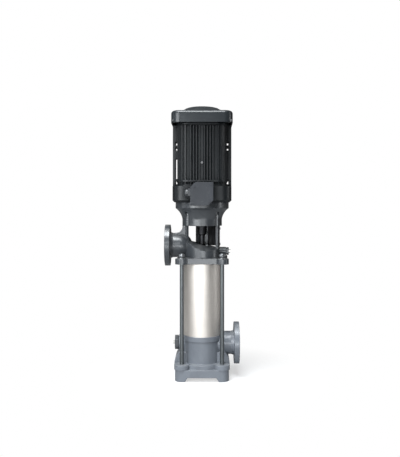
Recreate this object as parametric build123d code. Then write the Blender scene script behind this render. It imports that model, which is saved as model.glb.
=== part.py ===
from build123d import *
import os
from math import atan2, cos, degrees, pi, radians, sin, sqrt

# Vertical multistage pump with a top-mounted motor, in millimetres.
# The origin is on the floor on the pump axis. +Z is up, the suction flange
# faces +X, the discharge flange faces -X and the terminal box faces -Y.

# --- Ports: two DN 50 flanges, one behind the other on the X axis ---
port_bore_d = 50
flange_d = 165
flange_pcd = 125
flange_hole_count = 4
flange_hole_d = 18
flange_thickness = 20
raised_face_d = 99
raised_face_h = 2
face_to_axis = 150
suction_axis_z = 129
suction_neck_d = 91
discharge_neck_d = 98
neck_flare_rise = 4
neck_flare_length = 12

# --- Suction base ---
foot_height = 16
foot_plate_thickness = 28
shoulder_thickness = 16
base_body_height = 105
plate_margin = 28
plate_bulge = 2.5
plate_corner_r = 26
lug_edge_r = 3
arch_half = 66
arch_slope = 11
shoulder_inset = 4
base_body_wall = 0.5
base_collar_wall = 3.5
base_collar_height = 20
chamber_floor_thickness = 12
pedestal_projection = 4
pedestal_height = 57
pedestal_width = 96
pedestal_overlap = 20
pedestal_lean = 18
pedestal_belly = 3
foundation_spacing = 170
foundation_hole_d = 10.2
foundation_hole_depth = 24

# --- Outer sleeve and its seals ---
sleeve_od = 152
sleeve_wall = 2.5
sleeve_length = 299
sleeve_seat_depth = 6
spigot_rise = 6
spigot_wall = 11.3
sleeve_clearance = 0.2
o_ring_section = 2.9
o_ring_groove_width = 3.6

# --- Tie rods ---
rod_d = 16
rod_gap = 2.5
rod_count = 4
rod_thread_depth = 28
rod_clearance = 0.5
rod_end_projection = 3
rod_boss_rise = 2
base_lug_r = 30
head_lug_r = 26
washer_thickness = 3
washer_d = 30
nut_height = 13
nut_across_flats = 24

# --- Stage stack ---
stage_count = 5
stage_wall = 2.5
stage_clearance = 3.5
inlet_plate_thickness = 4
clamp_ring_height = 7
bowl_plate_thickness = 3
diffuser_plate_thickness = 2.5
diffuser_passage = 10
return_vane_count = 6
return_vane_sweep = 55
return_vane_angle = 2.4
eye_hole_r = 26
impeller_passage = 14
impeller_height = 24
impeller_vane_count = 6
impeller_vane_sweep = 70
impeller_vane_angle = 3.2
impeller_front_rise = 8
shroud_thickness = 2.2
eye_neck_wall = 2.5
eye_clearance = 0.5
end_clearance = 2
hub_r = 15
hub_clearance = 1.5

# --- Pump shaft, its bush and its seal ---
pump_shaft_d = 22
fit_clearance = 0.05
shaft_end_clearance = 3
bush_wall = 3.4
bush_length = 18
bush_drop = 24
guide_leg_count = 3
guide_leg_thickness = 4
impeller_nut_height = 10
impeller_nut_across_flats = 32
seal_head_r = 18
seal_head_length = 24
seal_gap = 0.2
seal_seat_length = 8
seal_seat_r = 16.8
seal_cover_r = 32.5
seal_cover_thickness = 9
seal_spigot_r = 20.8
seal_spigot_length = 6
seal_screw_d = 6
seal_screw_count = 4

# --- Discharge head and motor stool, one casting ---
head_flange_thickness = 22
head_flange_margin = 16
head_drum_inset = 4
head_wall = 14
head_chamber_height = 23
discharge_rise = 69
vault_r = 120
vault_crest_rise = 54
vault_slope = 13.3
throat_distance = 16
throat_duct_r = 22
window_height = 126
pillar_inset = 2.5
pillar_wall = 10
rear_pillar_angle = 46
front_pillar_angle = 26
front_pillar_turn = 77
stool_ring_projection = 10
stool_ring_height = 26
stool_ring_wall = 17.5
flare_height = 44
flare_waist = 8.7
stool_flange_r = 107
stool_flange_thickness = 23
neck_web_thickness = 36
plug_pocket_gap = 13
vent_boss_d = 34
vent_boss_projection = 20

# --- Plugs and their bleed screws ---
drain_boss_d = 62
drain_boss_projection = 16
drain_axis_z = 130
drain_thread_d = 33
drain_hex = 50
drain_head_length = 15
vent_thread_d = 20
vent_hex = 27
vent_head_length = 9
plug_thread_length = 22
plug_washer_thickness = 2
bleed_shank_d = 8
bleed_shank_length = 9
bleed_hex = 11
bleed_head_length = 7
vent_needle_length = 6

# --- Coupling and its guard ---
motor_shaft_d = 28
motor_shaft_extension = 60
shaft_ends_gap = 5
coupling_r = 30
coupling_hub_r = 18.5
coupling_top_gap = 7
coupling_upper_length = 82
coupling_lower_length = 42
coupling_split = 1
coupling_screw_d = 6
coupling_screw_offset = 22
guard_thickness = 1.5
guard_gap = 0.3
guard_overlap = 8
guard_height = 84
guard_screw_d = 5

# --- Motor ---
motor_pcd = 165
motor_bolt_d = 10
motor_bolt_count = 4
motor_head_r = 8
motor_head_height = 10
motor_thread_depth = 17
register_d = 130
register_depth = 4
shield_half = 115
shield_corner_r = 42
shield_height = 62
shield_chamfer = 7
bearing_bore_d = 30
bearing_od = 72
bearing_width = 19
bearing_ball_d = 9.8
bearing_ball_count = 8
bearing_race_clearance = 0.1
cage_thickness = 3
cage_height = 13
shield_floor = 19
housing_height = 245
housing_r = 90
housing_wall = 6
housing_flange_thickness = 6
housing_collar_rise = 17
housing_flange_half = 100
fin_reach = 98
fin_pitch = 11
fin_thickness = 4
fin_envelope_r = 46
centre_strip_width = 20
rail_projection = 1.5
rail_thickness = 10
rail_width = 64
rail_web_thickness = 8
stator_length = 120
stator_bore_d = 104
winding_length = 20
winding_wall = 22
winding_bevel = 5
air_gap = 0.5
rotor_bore_d = 40
end_ring_length = 9
end_ring_outer_d = 96
end_ring_inner_d = 60
rear_shield_thickness = 14
rear_shield_r = 98
shield_bolt_d = 8
shield_bolt_hex = 13
shield_bolt_depth = 20
fan_shaft_d = 24
fan_tip_clearance = 28
fan_height = 22
fan_hub_r = 20
fan_gap = 8
fan_blade_count = 7
fan_blade_thickness = 3
cover_projection = 4.5
cover_corner_r = 34
cover_skirt_height = 61
cover_shoulder_r = 12
cover_cone_height = 9
cover_cone_base_r = 100
cover_top_r = 62
cover_wall = 2
grille_slot_count = 16
grille_slot_width = 6
grille_slot_length = 34
grille_inner_r = 20
cover_screw_d = 5

# --- Terminal box ---
box_half_width = 43
box_height = 87
box_rise = -13
box_depth = 43
box_wall = 3
box_chamfer = 19
lid_depth = 14.5
lid_wall = 2.5
gasket_thickness = 1.5
lid_screw_d = 5
board_width = 50
board_height = 34
board_depth = 12
stud_d = 5
stud_length = 14
stud_pitch = 15
gland_rise = 46
gland_thread_d = 25
gland_hex = 33
gland_body_length = 9
gland_nut_d = 31
gland_nut_length = 14
gland_nut_bevel = 3
gland_cable_d = 17

# --- Levels that follow from the sizes above ---
plate_top = foot_height + foot_plate_thickness
shoulder_top = plate_top + shoulder_thickness
rod_boss_top = shoulder_top + rod_boss_rise
base_top = shoulder_top + base_body_height
chamber_floor = shoulder_top + chamber_floor_thickness
sleeve_bottom = base_top - sleeve_seat_depth
sleeve_top = sleeve_bottom + sleeve_length
head_bottom = sleeve_top - sleeve_seat_depth
head_flange_top = head_bottom + head_flange_thickness
discharge_axis_z = head_bottom + discharge_rise
sleeve_r = sleeve_od / 2
sleeve_inner_r = sleeve_r - sleeve_wall
spigot_r = sleeve_inner_r - sleeve_clearance
plate_half = sleeve_r + plate_margin
shoulder_r = plate_half - shoulder_inset
base_body_r = sleeve_r + base_body_wall
base_collar_r = sleeve_r + base_collar_wall
pedestal_reach = plate_half + pedestal_projection
drain_boss_reach = sleeve_r + drain_boss_projection
vent_boss_reach = sleeve_r + vent_boss_projection
head_flange_half = sleeve_r + head_flange_margin
head_drum_r = sleeve_r - head_drum_inset
head_chamber_r = head_drum_r - head_wall
throat_offset = head_drum_r + throat_distance
pillar_outer_r = head_drum_r - pillar_inset
stool_ring_r = pillar_outer_r + stool_ring_projection
stool_bore_r = stool_ring_r - stool_ring_wall
stage_outer_r = sleeve_inner_r - stage_clearance
diffuser_plate_r = stage_outer_r - diffuser_passage
impeller_r = stage_outer_r - impeller_passage
rod_offset = sleeve_r + rod_gap
stack_bottom = base_top + spigot_rise
stack_top = head_bottom - spigot_rise
stages_bottom = stack_bottom + inlet_plate_thickness
stage_pitch = (stack_top - clamp_ring_height - stages_bottom) / stage_count
ring_bottom = head_flange_top + window_height
ring_top = ring_bottom + stool_ring_height
stool_flange_bottom = ring_top + flare_height
motor_face = stool_flange_bottom + stool_flange_thickness
chamber_top = head_flange_top + head_chamber_height
pocket_floor = chamber_top + plug_pocket_gap
shaft_r = pump_shaft_d / 2
bush_bottom = stack_bottom - bush_drop
motor_shaft_bottom = motor_face - motor_shaft_extension
pump_shaft_top = motor_shaft_bottom - shaft_ends_gap
coupling_top = motor_face - coupling_top_gap
coupling_step = coupling_top - coupling_upper_length
coupling_bottom = coupling_step - coupling_lower_length
shield_top = motor_face + shield_height
housing_top = shield_top + housing_height
bearing_outer_r = bearing_od / 2
drive_bearing_bottom = motor_face + shield_floor
rear_bearing_bottom = housing_top - bearing_width + rear_shield_thickness / 2
stator_bottom = shield_top + (housing_height - stator_length) / 2
stator_top = stator_bottom + stator_length
rail_reach = shield_half + rail_projection
cover_half = shield_half + cover_projection
fan_r = cover_half - fan_tip_clearance
fan_bottom = housing_top + rear_shield_thickness + fan_gap
cover_top = housing_top + cover_skirt_height + cover_cone_height
box_bottom = motor_face + box_rise
box_top = box_bottom + box_height
box_front = shield_half + box_depth
lid_back = box_front + gasket_thickness
rod_places = [(x * rod_offset, y * rod_offset) for x in (-1, 1) for y in (-1, 1)]


# --- Small helpers ---
upright = (Align.CENTER, Align.CENTER, Align.MIN)


def rod_z(radius, bottom, top, x=0, y=0):
    """A round bar along Z between two levels."""
    return Pos(x, y, bottom) * Cylinder(radius, top - bottom, align=upright)


def ring_z(inner_r, outer_r, bottom, top, x=0, y=0):
    """A tube along Z between two levels."""
    return rod_z(outer_r, bottom, top, x, y) - rod_z(inner_r, bottom - 1, top + 1, x, y)


def rod_x(radius, start, end, y, z):
    """A round bar along X from start to end."""
    low = min(start, end)
    bar = Cylinder(radius, abs(end - start), align=upright)
    return Pos(low, y, z) * Rot(0, 90, 0) * bar


def rod_y(radius, start, end, x, z):
    """A round bar along Y from start to end."""
    low = min(start, end)
    bar = Cylinder(radius, abs(end - start), align=upright)
    return Pos(x, low, z) * Rot(-90, 0, 0) * bar


def block(x_low, x_high, y_low, y_high, z_low, z_high):
    """A rectangular block between six planes."""
    size = Box(x_high - x_low, y_high - y_low, z_high - z_low, align=(Align.MIN, Align.MIN, Align.MIN))
    return Pos(x_low, y_low, z_low) * size


def hex_z(across_flats, bottom, top, x=0, y=0):
    """A hexagonal prism along Z."""
    outline = RegularPolygon(across_flats / 2, 6, major_radius=False)
    return Pos(x, y, bottom) * extrude(outline, top - bottom)


def hex_x(across_flats, start, end, y, z):
    """A hexagonal prism along X."""
    low = min(start, end)
    outline = RegularPolygon(across_flats / 2, 6, major_radius=False)
    return Pos(low, y, z) * Rot(0, 90, 0) * extrude(outline, abs(end - start))


def rounded_prism(half, corner_r, bottom, top):
    """A square prism with rounded corners, centred on the Z axis."""
    return Pos(0, 0, bottom) * extrude(RectangleRounded(2 * half, 2 * half, corner_r), top - bottom)


def polar(radius, angle):
    """A point on a circle in the XY plane, angle in degrees from +X."""
    return (radius * cos(radians(angle)), radius * sin(radians(angle)))


def turned(points):
    """A solid of revolution about Z from (radius, level) points."""
    outline = make_face(Polyline(*[(r, 0, z) for r, z in points], close=True))
    return revolve(outline, Axis.Z)


def sector(outer_r, start_angle, end_angle, bottom, top):
    """A wedge of a disc, angles in degrees from +X, under 180 degrees."""
    middle = (start_angle + end_angle) / 2
    a = polar(outer_r, start_angle)
    b = polar(outer_r, middle)
    c = polar(outer_r, end_angle)
    edges = [Line((0, 0), a), ThreePointArc(a, b, c), Line(c, (0, 0))]
    return Pos(0, 0, bottom) * extrude(make_face(edges), top - bottom)


def curved_vane(inner_r, outer_r, sweep, thickness_angle, bottom, top):
    """A blade between two radii, bent along an arc that sweeps backwards."""
    def flank(turn):
        middle_r = (inner_r + outer_r) / 2
        start = polar(inner_r, turn)
        middle = polar(middle_r, turn + sweep * 0.38)
        end = polar(outer_r, turn + sweep)
        return ThreePointArc(start, middle, end)
    first = flank(0)
    second = flank(thickness_angle)
    edges = [first, Line(first @ 1, second @ 1), second, Line(second @ 0, first @ 0)]
    return Pos(0, 0, bottom) * extrude(make_face(edges), top - bottom)


def radial_bar(radius, inner_r, outer_r, angle, level):
    """A round bar that points away from the Z axis."""
    return Pos(0, 0, level) * Rot(0, 0, angle) * rod_x(radius, inner_r, outer_r, 0, 0)


def port_flange(face_x, axis_z):
    """A round flange with a raised face, bolt holes left to the caller."""
    side = 1 if face_x > 0 else -1
    back = face_x - side * (flange_thickness + raised_face_h)
    plate = rod_x(flange_d / 2, back, face_x - side * raised_face_h, 0, axis_z)
    return plate + rod_x(raised_face_d / 2, back, face_x, 0, axis_z)


def port_flare(face_x, axis_z, neck_r):
    """The widening of the neck where it meets the back of the flange."""
    back = abs(face_x) - flange_thickness - raised_face_h
    cone = Cone(neck_r, neck_r + neck_flare_rise, neck_flare_length, align=upright)
    along_x = Pos(back - neck_flare_length, 0, axis_z) * Rot(0, 90, 0) * cone
    return Rot(0, 0, 0 if face_x > 0 else 180) * along_x


def port_bolt_holes(face_x, axis_z):
    """The flange's bolt holes, straddling the vertical centreline."""
    holes = []
    side = 1 if face_x > 0 else -1
    for i in range(flange_hole_count):
        y, z = polar(flange_pcd / 2, 45 + i * 360 / flange_hole_count)
        back = face_x - side * (flange_thickness + raised_face_h + 1)
        holes.append(rod_x(flange_hole_d / 2, back, face_x + side, y, axis_z + z))
    return holes


def spigot(bottom, top, groove_z):
    """The seat ring that centres the sleeve, with its O-ring groove."""
    ring = ring_z(spigot_r - spigot_wall, spigot_r, bottom, top)
    groove_r = sleeve_inner_r - o_ring_section
    half = o_ring_groove_width / 2
    return ring - ring_z(groove_r, sleeve_od, groove_z - half, groove_z + half)


base_groove_z = base_top + spigot_rise / 2
head_groove_z = head_bottom - spigot_rise / 2


# --- Suction base ---
def plate_outline():
    """A square whose four sides bow outwards a little."""
    h = plate_half
    b = plate_half + plate_bulge
    corners = [(h, -h), (h, h), (-h, h), (-h, -h)]
    bows = [(b, 0), (0, b), (-b, 0), (0, -b)]
    edges = [ThreePointArc(corners[i], bows[i], corners[(i + 1) % 4]) for i in range(4)]
    outline = make_face(edges)
    return fillet(outline.vertices(), plate_corner_r)


def foot_arch():
    """The gap between two feet, open on both sides of the plate."""
    b = arch_half
    t = arch_half - arch_slope
    points = [(-b, -1), (-b, 0), (-t, foot_height), (t, foot_height), (b, 0), (b, -1)]
    profile = Plane.XZ * make_face(Polyline(*points, close=True))
    return extrude(profile, 2 * plate_half, both=True)


def pedestal():
    """The swelling of the casting under a port."""
    low = plate_top
    high = plate_top + pedestal_height
    inner = base_body_r - pedestal_overlap
    neck = pedestal_reach - pedestal_lean
    middle = (pedestal_reach - pedestal_belly, low + pedestal_height * 0.6)
    edges = [
        Line((inner, low), (pedestal_reach, low)),
        ThreePointArc((pedestal_reach, low), middle, (neck, high)),
        Line((neck, high), (inner, high)),
        Line((inner, high), (inner, low)),
    ]
    return extrude(Plane.XZ * make_face(edges), pedestal_width / 2, both=True)


def base_casting():
    body = extrude(plate_outline(), plate_top)
    body -= foot_arch()
    body -= Rot(0, 0, 90) * foot_arch()
    body += rod_z(shoulder_r, plate_top, shoulder_top)
    body += rod_z(base_body_r, shoulder_top, base_top)
    body += rod_z(base_collar_r, base_top - base_collar_height, base_top)
    body += pedestal()
    body += Rot(0, 0, 180) * pedestal()
    for x, y in rod_places:
        body += rod_z(base_lug_r, plate_top, rod_boss_top, x, y)
    neck_end = face_to_axis - flange_thickness
    body += rod_x(suction_neck_d / 2, base_body_r / 2, neck_end, 0, suction_axis_z)
    body += port_flare(face_to_axis, suction_axis_z, suction_neck_d / 2)
    body += port_flange(face_to_axis, suction_axis_z)
    body += rod_x(drain_boss_d / 2, -drain_boss_reach, 0, 0, drain_axis_z)
    return body


def suction_base():
    body = base_casting()
    chamber_r = spigot_r - spigot_wall
    body -= ring_z(spigot_r, sleeve_od / 2 + fit_clearance, sleeve_bottom, base_top + 1)
    body -= rod_z(chamber_r, chamber_floor, base_top + 1)
    body -= rod_z(base_collar_r, base_top, suction_axis_z + flange_d)
    body += spigot(sleeve_bottom, stack_bottom, base_groove_z)
    body -= rod_x(port_bore_d / 2, 0, face_to_axis + 1, 0, suction_axis_z)
    for hole in port_bolt_holes(face_to_axis, suction_axis_z):
        body -= hole
    body -= rod_x(drain_thread_d / 2 + fit_clearance, -face_to_axis, 0, 0, drain_axis_z)
    half = foundation_spacing / 2
    for x, y in rod_places:
        body -= rod_z(rod_d / 2 + fit_clearance, rod_boss_top - rod_thread_depth, rod_boss_top + 1, x, y)
        sx = half if x > 0 else -half
        sy = half if y > 0 else -half
        body -= rod_z(foundation_hole_d / 2, -1, foundation_hole_depth, sx, sy)
    return body


# --- Plugs and bleed screws, both along X ---
def plug(boss_face, axis_z, thread_d, hexagon, head_length):
    """A hexagon plug screwed into a boss; boss_face < 0 lies on the -X side."""
    side = 1 if boss_face > 0 else -1
    seat = boss_face + side * plug_washer_thickness
    outer = seat + side * head_length
    body = rod_x(thread_d / 2, boss_face - side * plug_thread_length, seat, 0, axis_z)
    body += hex_x(hexagon, seat, outer, 0, axis_z)
    hole_end = outer - side * (bleed_shank_length + 1)
    return body - rod_x(bleed_shank_d / 2 + fit_clearance, hole_end, outer + side, 0, axis_z)


def plug_washer(boss_face, axis_z, thread_d, hexagon):
    side = 1 if boss_face > 0 else -1
    seat = boss_face + side * plug_washer_thickness
    ring = rod_x(hexagon / 2, boss_face, seat, 0, axis_z)
    return ring - rod_x(thread_d / 2 + fit_clearance, boss_face - side, seat + side, 0, axis_z)


def bleed_screw(boss_face, axis_z, head_length, hexagon):
    side = 1 if boss_face > 0 else -1
    outer = boss_face + side * (plug_washer_thickness + head_length)
    under_head = outer + side * seal_gap
    body = rod_x(bleed_shank_d / 2, outer - side * bleed_shank_length, under_head, 0, axis_z)
    return body + hex_x(hexagon, under_head, outer + side * bleed_head_length, 0, axis_z)


vent_axis_z = chamber_top


def vent_needle():
    """The vent screw carries a slim outlet tip."""
    screw = bleed_screw(vent_boss_reach, vent_axis_z, vent_head_length, bleed_hex)
    tip = vent_boss_reach + plug_washer_thickness + vent_head_length + bleed_head_length
    return screw + rod_x(bleed_shank_d / 4, tip - 1, tip + vent_needle_length, 0, vent_axis_z)


# --- Sleeve, rods and seals ---
def outer_sleeve():
    return ring_z(sleeve_inner_r, sleeve_od / 2, sleeve_bottom, sleeve_top)


def o_ring(level):
    minor = o_ring_section / 2
    return Pos(0, 0, level) * Torus(sleeve_inner_r - minor, minor - fit_clearance / 2)


def tie_rods():
    bottom = rod_boss_top - rod_thread_depth + 1
    top = head_flange_top + washer_thickness + nut_height + rod_end_projection
    return [rod_z(rod_d / 2, bottom, top, x, y) for x, y in rod_places]


def tie_rod_washers():
    top = head_flange_top + washer_thickness
    bore_r = rod_d / 2 + rod_clearance
    return [ring_z(bore_r, washer_d / 2, head_flange_top, top, x, y) for x, y in rod_places]


def tie_rod_nuts():
    nuts = []
    bottom = head_flange_top + washer_thickness
    for x, y in rod_places:
        bore = rod_z(rod_d / 2 + fit_clearance, bottom - 1, bottom + nut_height + 1, x, y)
        nuts.append(hex_z(nut_across_flats, bottom, bottom + nut_height, x, y) - bore)
    return nuts


# --- Stage stack ---
def inlet_guide():
    """The plate under the first impeller, with legs that carry the shaft bush."""
    plate = ring_z(eye_hole_r, spigot_r - fit_clearance, stack_bottom, stages_bottom)
    bush_r = shaft_r + fit_clearance + bush_wall
    hub = ring_z(bush_r, bush_r + 4, bush_bottom, bush_bottom + bush_length)
    leg = block(bush_r + 2, eye_hole_r + 20, -guide_leg_thickness / 2, guide_leg_thickness / 2,
                bush_bottom, stack_bottom)
    for i in range(guide_leg_count):
        hub += Rot(0, 0, 30 + i * 360 / guide_leg_count) * leg
    nut_corner_r = impeller_nut_across_flats / sqrt(3)
    nut_bottom = stages_bottom + end_clearance - impeller_nut_height
    return plate + hub - rod_z(nut_corner_r + end_clearance, nut_bottom - end_clearance / 2, stages_bottom)


def shaft_bush():
    bore_r = shaft_r + fit_clearance
    return ring_z(bore_r, bore_r + bush_wall - fit_clearance, bush_bottom, bush_bottom + bush_length)


def stage_bowl(index):
    """One bowl: wall, diffuser plate, return vanes and top plate, open below."""
    low = stages_bottom + index * stage_pitch
    high = low + stage_pitch
    plate_low = high - bowl_plate_thickness
    diffuser_low = low + impeller_height - eye_clearance
    diffuser_high = diffuser_low + diffuser_plate_thickness
    bowl = ring_z(stage_outer_r - stage_wall, stage_outer_r, low, high)
    bowl += ring_z(eye_hole_r, stage_outer_r, plate_low, high)
    bowl += ring_z(hub_r + hub_clearance, diffuser_plate_r, diffuser_low, diffuser_high)
    tip_r = stage_outer_r - stage_wall / 2
    sweep = -return_vane_sweep
    vane = curved_vane(eye_hole_r, tip_r, sweep, -return_vane_angle, diffuser_low, plate_low + 1)
    for i in range(return_vane_count):
        bowl += Rot(0, 0, i * 360 / return_vane_count) * vane
    return bowl


def stack_clamp_ring():
    return ring_z(spigot_r - spigot_wall, stage_outer_r, stack_top - clamp_ring_height, stack_top)


def impeller(index):
    """A closed impeller: hub, back shroud, front shroud with eye, curved vanes."""
    low = stages_bottom + index * stage_pitch
    eye_r = eye_hole_r - eye_clearance
    eye_inner_r = eye_r - eye_neck_wall
    eye_bottom = low - bowl_plate_thickness + eye_clearance
    top = low + impeller_height - end_clearance
    back_low = top - shroud_thickness
    front_low = low + impeller_front_rise
    front_high = front_low + shroud_thickness
    body = ring_z(shaft_r + fit_clearance / 2, hub_r, low + end_clearance, top)
    body += ring_z(hub_r - 1, impeller_r, back_low, top)
    body += ring_z(eye_inner_r, impeller_r, front_low, front_high)
    body += ring_z(eye_inner_r, eye_r, eye_bottom, front_high)
    vane_low = front_high - shroud_thickness / 2
    vane_high = back_low + shroud_thickness / 2
    tip_r = impeller_r - end_clearance
    turn = (impeller_vane_sweep, impeller_vane_angle)
    vane = curved_vane(hub_r - 1, tip_r, *turn, vane_low, vane_high)
    for i in range(impeller_vane_count):
        body += Rot(0, 0, i * 360 / impeller_vane_count) * vane
    return body


def shaft_spacers():
    """Sleeves that hold the impellers apart, and the long one below the seal."""
    spacers = []
    bore_r = shaft_r + fit_clearance / 2
    for i in range(stage_count):
        bottom = stages_bottom + i * stage_pitch + impeller_height - end_clearance
        top = stages_bottom + (i + 1) * stage_pitch + end_clearance
        if i == stage_count - 1:
            top = seal_head_bottom
        spacers.append(ring_z(bore_r, hub_r - 1, bottom, top))
    return spacers


def impeller_nut():
    top = stages_bottom + end_clearance
    nut = hex_z(impeller_nut_across_flats, top - impeller_nut_height, top)
    return nut - rod_z(shaft_r + fit_clearance / 2, 0, sleeve_top)


# --- Mechanical seal ---
cover_spigot_bottom = pocket_floor - seal_spigot_length
seal_seat_top = cover_spigot_bottom + seal_seat_length
seal_head_top = cover_spigot_bottom - seal_gap
seal_head_bottom = seal_head_top - seal_head_length
seal_screw_ring_r = (seal_cover_r + seal_spigot_r) / 2


def seal_head():
    bore_r = shaft_r + fit_clearance / 2
    body = ring_z(bore_r, seal_head_r, seal_head_bottom, seal_head_bottom + seal_head_length * 0.35)
    body += ring_z(bore_r, seal_head_r - 2, seal_head_bottom, seal_head_top - 4)
    return body + ring_z(bore_r, seal_head_r - 3, seal_head_top - 6, seal_head_top)


def seal_seat():
    return ring_z(shaft_r + 1, seal_seat_r, cover_spigot_bottom, seal_seat_top)


def seal_cover():
    top = pocket_floor + seal_cover_thickness
    body = rod_z(seal_cover_r, pocket_floor, top) + rod_z(seal_spigot_r, cover_spigot_bottom, top)
    body -= rod_z(seal_seat_r + fit_clearance, cover_spigot_bottom - 1, seal_seat_top)
    body -= rod_z(shaft_r + 1.5, cover_spigot_bottom - 1, top + 1)
    for i in range(seal_screw_count):
        x, y = polar(seal_screw_ring_r, 45 + i * 360 / seal_screw_count)
        body -= rod_z(seal_screw_d / 2 + fit_clearance, pocket_floor - 1, top + 1, x, y)
    return body


def seal_cover_screws():
    screws = []
    top = pocket_floor + seal_cover_thickness
    for i in range(seal_screw_count):
        x, y = polar(seal_screw_ring_r, 45 + i * 360 / seal_screw_count)
        shank = rod_z(seal_screw_d / 2, pocket_floor - plug_pocket_gap / 2, top + 1, x, y)
        screws.append(shank + hex_z(10, top, top + 4, x, y))
    return screws


# --- Discharge head and motor stool ---
def vault():
    """The hump of the casting over the discharge passage, sloping down to +X."""
    crest = head_flange_top + vault_crest_rise
    roof = Rot(0, 90, 0) * Cylinder(vault_r, 4 * head_drum_r)
    return Pos(0, 0, crest) * Rot(0, vault_slope, 0) * Pos(0, 0, -vault_r) * roof


def head_flange():
    thickness = head_flange_thickness
    outline = Rectangle(2 * head_flange_half, 2 * head_flange_half)
    plate = Pos(0, 0, head_bottom) * extrude(outline, thickness)
    for x, y in rod_places:
        across = (min(x, 2 * x), max(x, 2 * x), min(y, 2 * y), max(y, 2 * y))
        plate -= block(*across, head_bottom - 1, head_flange_top + 1)
    for x, y in rod_places:
        lug = rod_z(head_lug_r, head_bottom, head_flange_top, x, y)
        plate += fillet(lug.edges().group_by(Axis.Z)[-1], lug_edge_r)
    return plate


def stool_top():
    """Neck ring, flare and the flange that carries the motor."""
    waist = (stool_ring_r + flare_waist, (ring_top + stool_flange_bottom) / 2 + 2)
    b = stool_bore_r
    edges = [
        Line((b, ring_bottom), (stool_ring_r, ring_bottom)),
        Line((stool_ring_r, ring_bottom), (stool_ring_r, ring_top)),
        ThreePointArc((stool_ring_r, ring_top), waist, (stool_flange_r, stool_flange_bottom)),
        Line((stool_flange_r, stool_flange_bottom), (stool_flange_r, motor_face)),
        Line((stool_flange_r, motor_face), (b, motor_face)),
        Line((b, motor_face), (b, ring_bottom)),
    ]
    body = revolve(Plane.XZ * make_face(edges), Axis.Z)
    return body - rod_z(register_d / 2 + fit_clearance, motor_face - register_depth - 1, motor_face + 1)


rear_axis_angle = 90
front_axis_angle = 270


def pillars():
    """The legs of the stool: left front, right front and rear."""
    legs = []
    inner_r = pillar_outer_r - pillar_wall
    front = front_pillar_angle
    left = front_axis_angle - front_pillar_turn
    right = front_axis_angle + front_pillar_turn
    places = [(rear_axis_angle, rear_pillar_angle), (left, front), (right, front)]
    for middle, width in places:
        low = middle - width / 2
        wedge = sector(pillar_outer_r, low, low + width, head_flange_top, ring_bottom + 1)
        legs.append(wedge - rod_z(inner_r, head_flange_top - 1, ring_bottom + 2))
    return legs


def neck_web():
    """The web that runs up from the discharge neck to the stool ring."""
    neck_top = discharge_axis_z + discharge_neck_d / 2
    inner = -(pillar_outer_r - pillar_wall / 2)
    outer = -(stool_ring_r + 28)
    middle = (-(stool_ring_r + 6), neck_top + 9)
    edges = [
        Line((inner, neck_top - 20), (outer, neck_top - 20)),
        Line((outer, neck_top - 20), (outer, neck_top)),
        ThreePointArc((outer, neck_top), middle, (-stool_ring_r, ring_bottom + 1)),
        Line((-stool_ring_r, ring_bottom + 1), (inner, ring_bottom + 1)),
        Line((inner, ring_bottom + 1), (inner, neck_top - 20)),
    ]
    return extrude(Plane.XZ * make_face(edges), neck_web_thickness / 2, both=True)


def head_casting():
    neck_r = discharge_neck_d / 2
    drum = rod_z(head_drum_r, head_flange_top, ring_bottom) & vault()
    body = head_flange() + drum
    neck_end = -(face_to_axis - flange_thickness)
    body += rod_x(neck_r, neck_end, -throat_offset, 0, discharge_axis_z)
    body += Pos(-throat_offset, 0, discharge_axis_z) * Sphere(neck_r)
    for leg in pillars():
        body += leg
    body += neck_web()
    body += stool_top()
    body += port_flare(-face_to_axis, discharge_axis_z, neck_r)
    body += port_flange(-face_to_axis, discharge_axis_z)
    return body + rod_x(vent_boss_d / 2, head_drum_r / 2, vent_boss_reach, 0, vent_axis_z)


def throat_duct():
    """The slanting passage from the chamber up into the discharge neck."""
    start = Vector(-throat_offset, 0, discharge_axis_z)
    end = Vector(-head_chamber_r / 2, 0, head_flange_top + 4)
    run = end - start
    angle = degrees(atan2(run.X, run.Z))
    duct = Cylinder(throat_duct_r, run.length, align=upright)
    return Pos(start.X, start.Y, start.Z) * Rot(0, angle, 0) * duct


def discharge_head():
    body = head_casting()
    chamber_r = spigot_r - spigot_wall
    seat_top = sleeve_top + fit_clearance
    body -= rod_z(chamber_r, head_bottom - 1, sleeve_top)
    body -= ring_z(spigot_r, sleeve_od / 2 + fit_clearance, head_bottom - 1, seat_top)
    body -= rod_z(head_chamber_r, head_bottom - 1, chamber_top)
    body += spigot(stack_top, seat_top, head_groove_z)
    body -= rod_x(port_bore_d / 2, -face_to_axis - 1, -throat_offset, 0, discharge_axis_z)
    body -= Pos(-throat_offset, 0, discharge_axis_z) * Sphere(port_bore_d / 2)
    body -= throat_duct()
    body -= rod_x(vent_thread_d / 2 + fit_clearance, 0, face_to_axis, 0, vent_axis_z)
    body -= rod_z(seal_cover_r + fit_clearance, pocket_floor, ring_bottom)
    body -= rod_z(seal_spigot_r + fit_clearance, chamber_top - 1, pocket_floor + 1)
    for i in range(seal_screw_count):
        x, y = polar(seal_screw_ring_r, 45 + i * 360 / seal_screw_count)
        hole_r = seal_screw_d / 2 + fit_clearance
        body -= rod_z(hole_r, pocket_floor - plug_pocket_gap / 2, pocket_floor + 1, x, y)
    for hole in port_bolt_holes(-face_to_axis, discharge_axis_z):
        body -= hole
    for x, y in rod_places:
        body -= rod_z(rod_d / 2 + rod_clearance, head_bottom - 1, head_flange_top + 1, x, y)
    for x, y in motor_bolt_places():
        body -= rod_z(motor_bolt_d / 2 + rod_clearance, ring_top, motor_face + 1, x, y)
        body -= rod_z(motor_head_r + 1, ring_bottom - 10, stool_flange_bottom, x, y)
    for angle, level in guard_screw_places():
        hole_r = guard_screw_d / 2 + fit_clearance
        body -= radial_bar(hole_r, pillar_outer_r - 7, pillar_outer_r + 5, angle, level)
    return body


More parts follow.
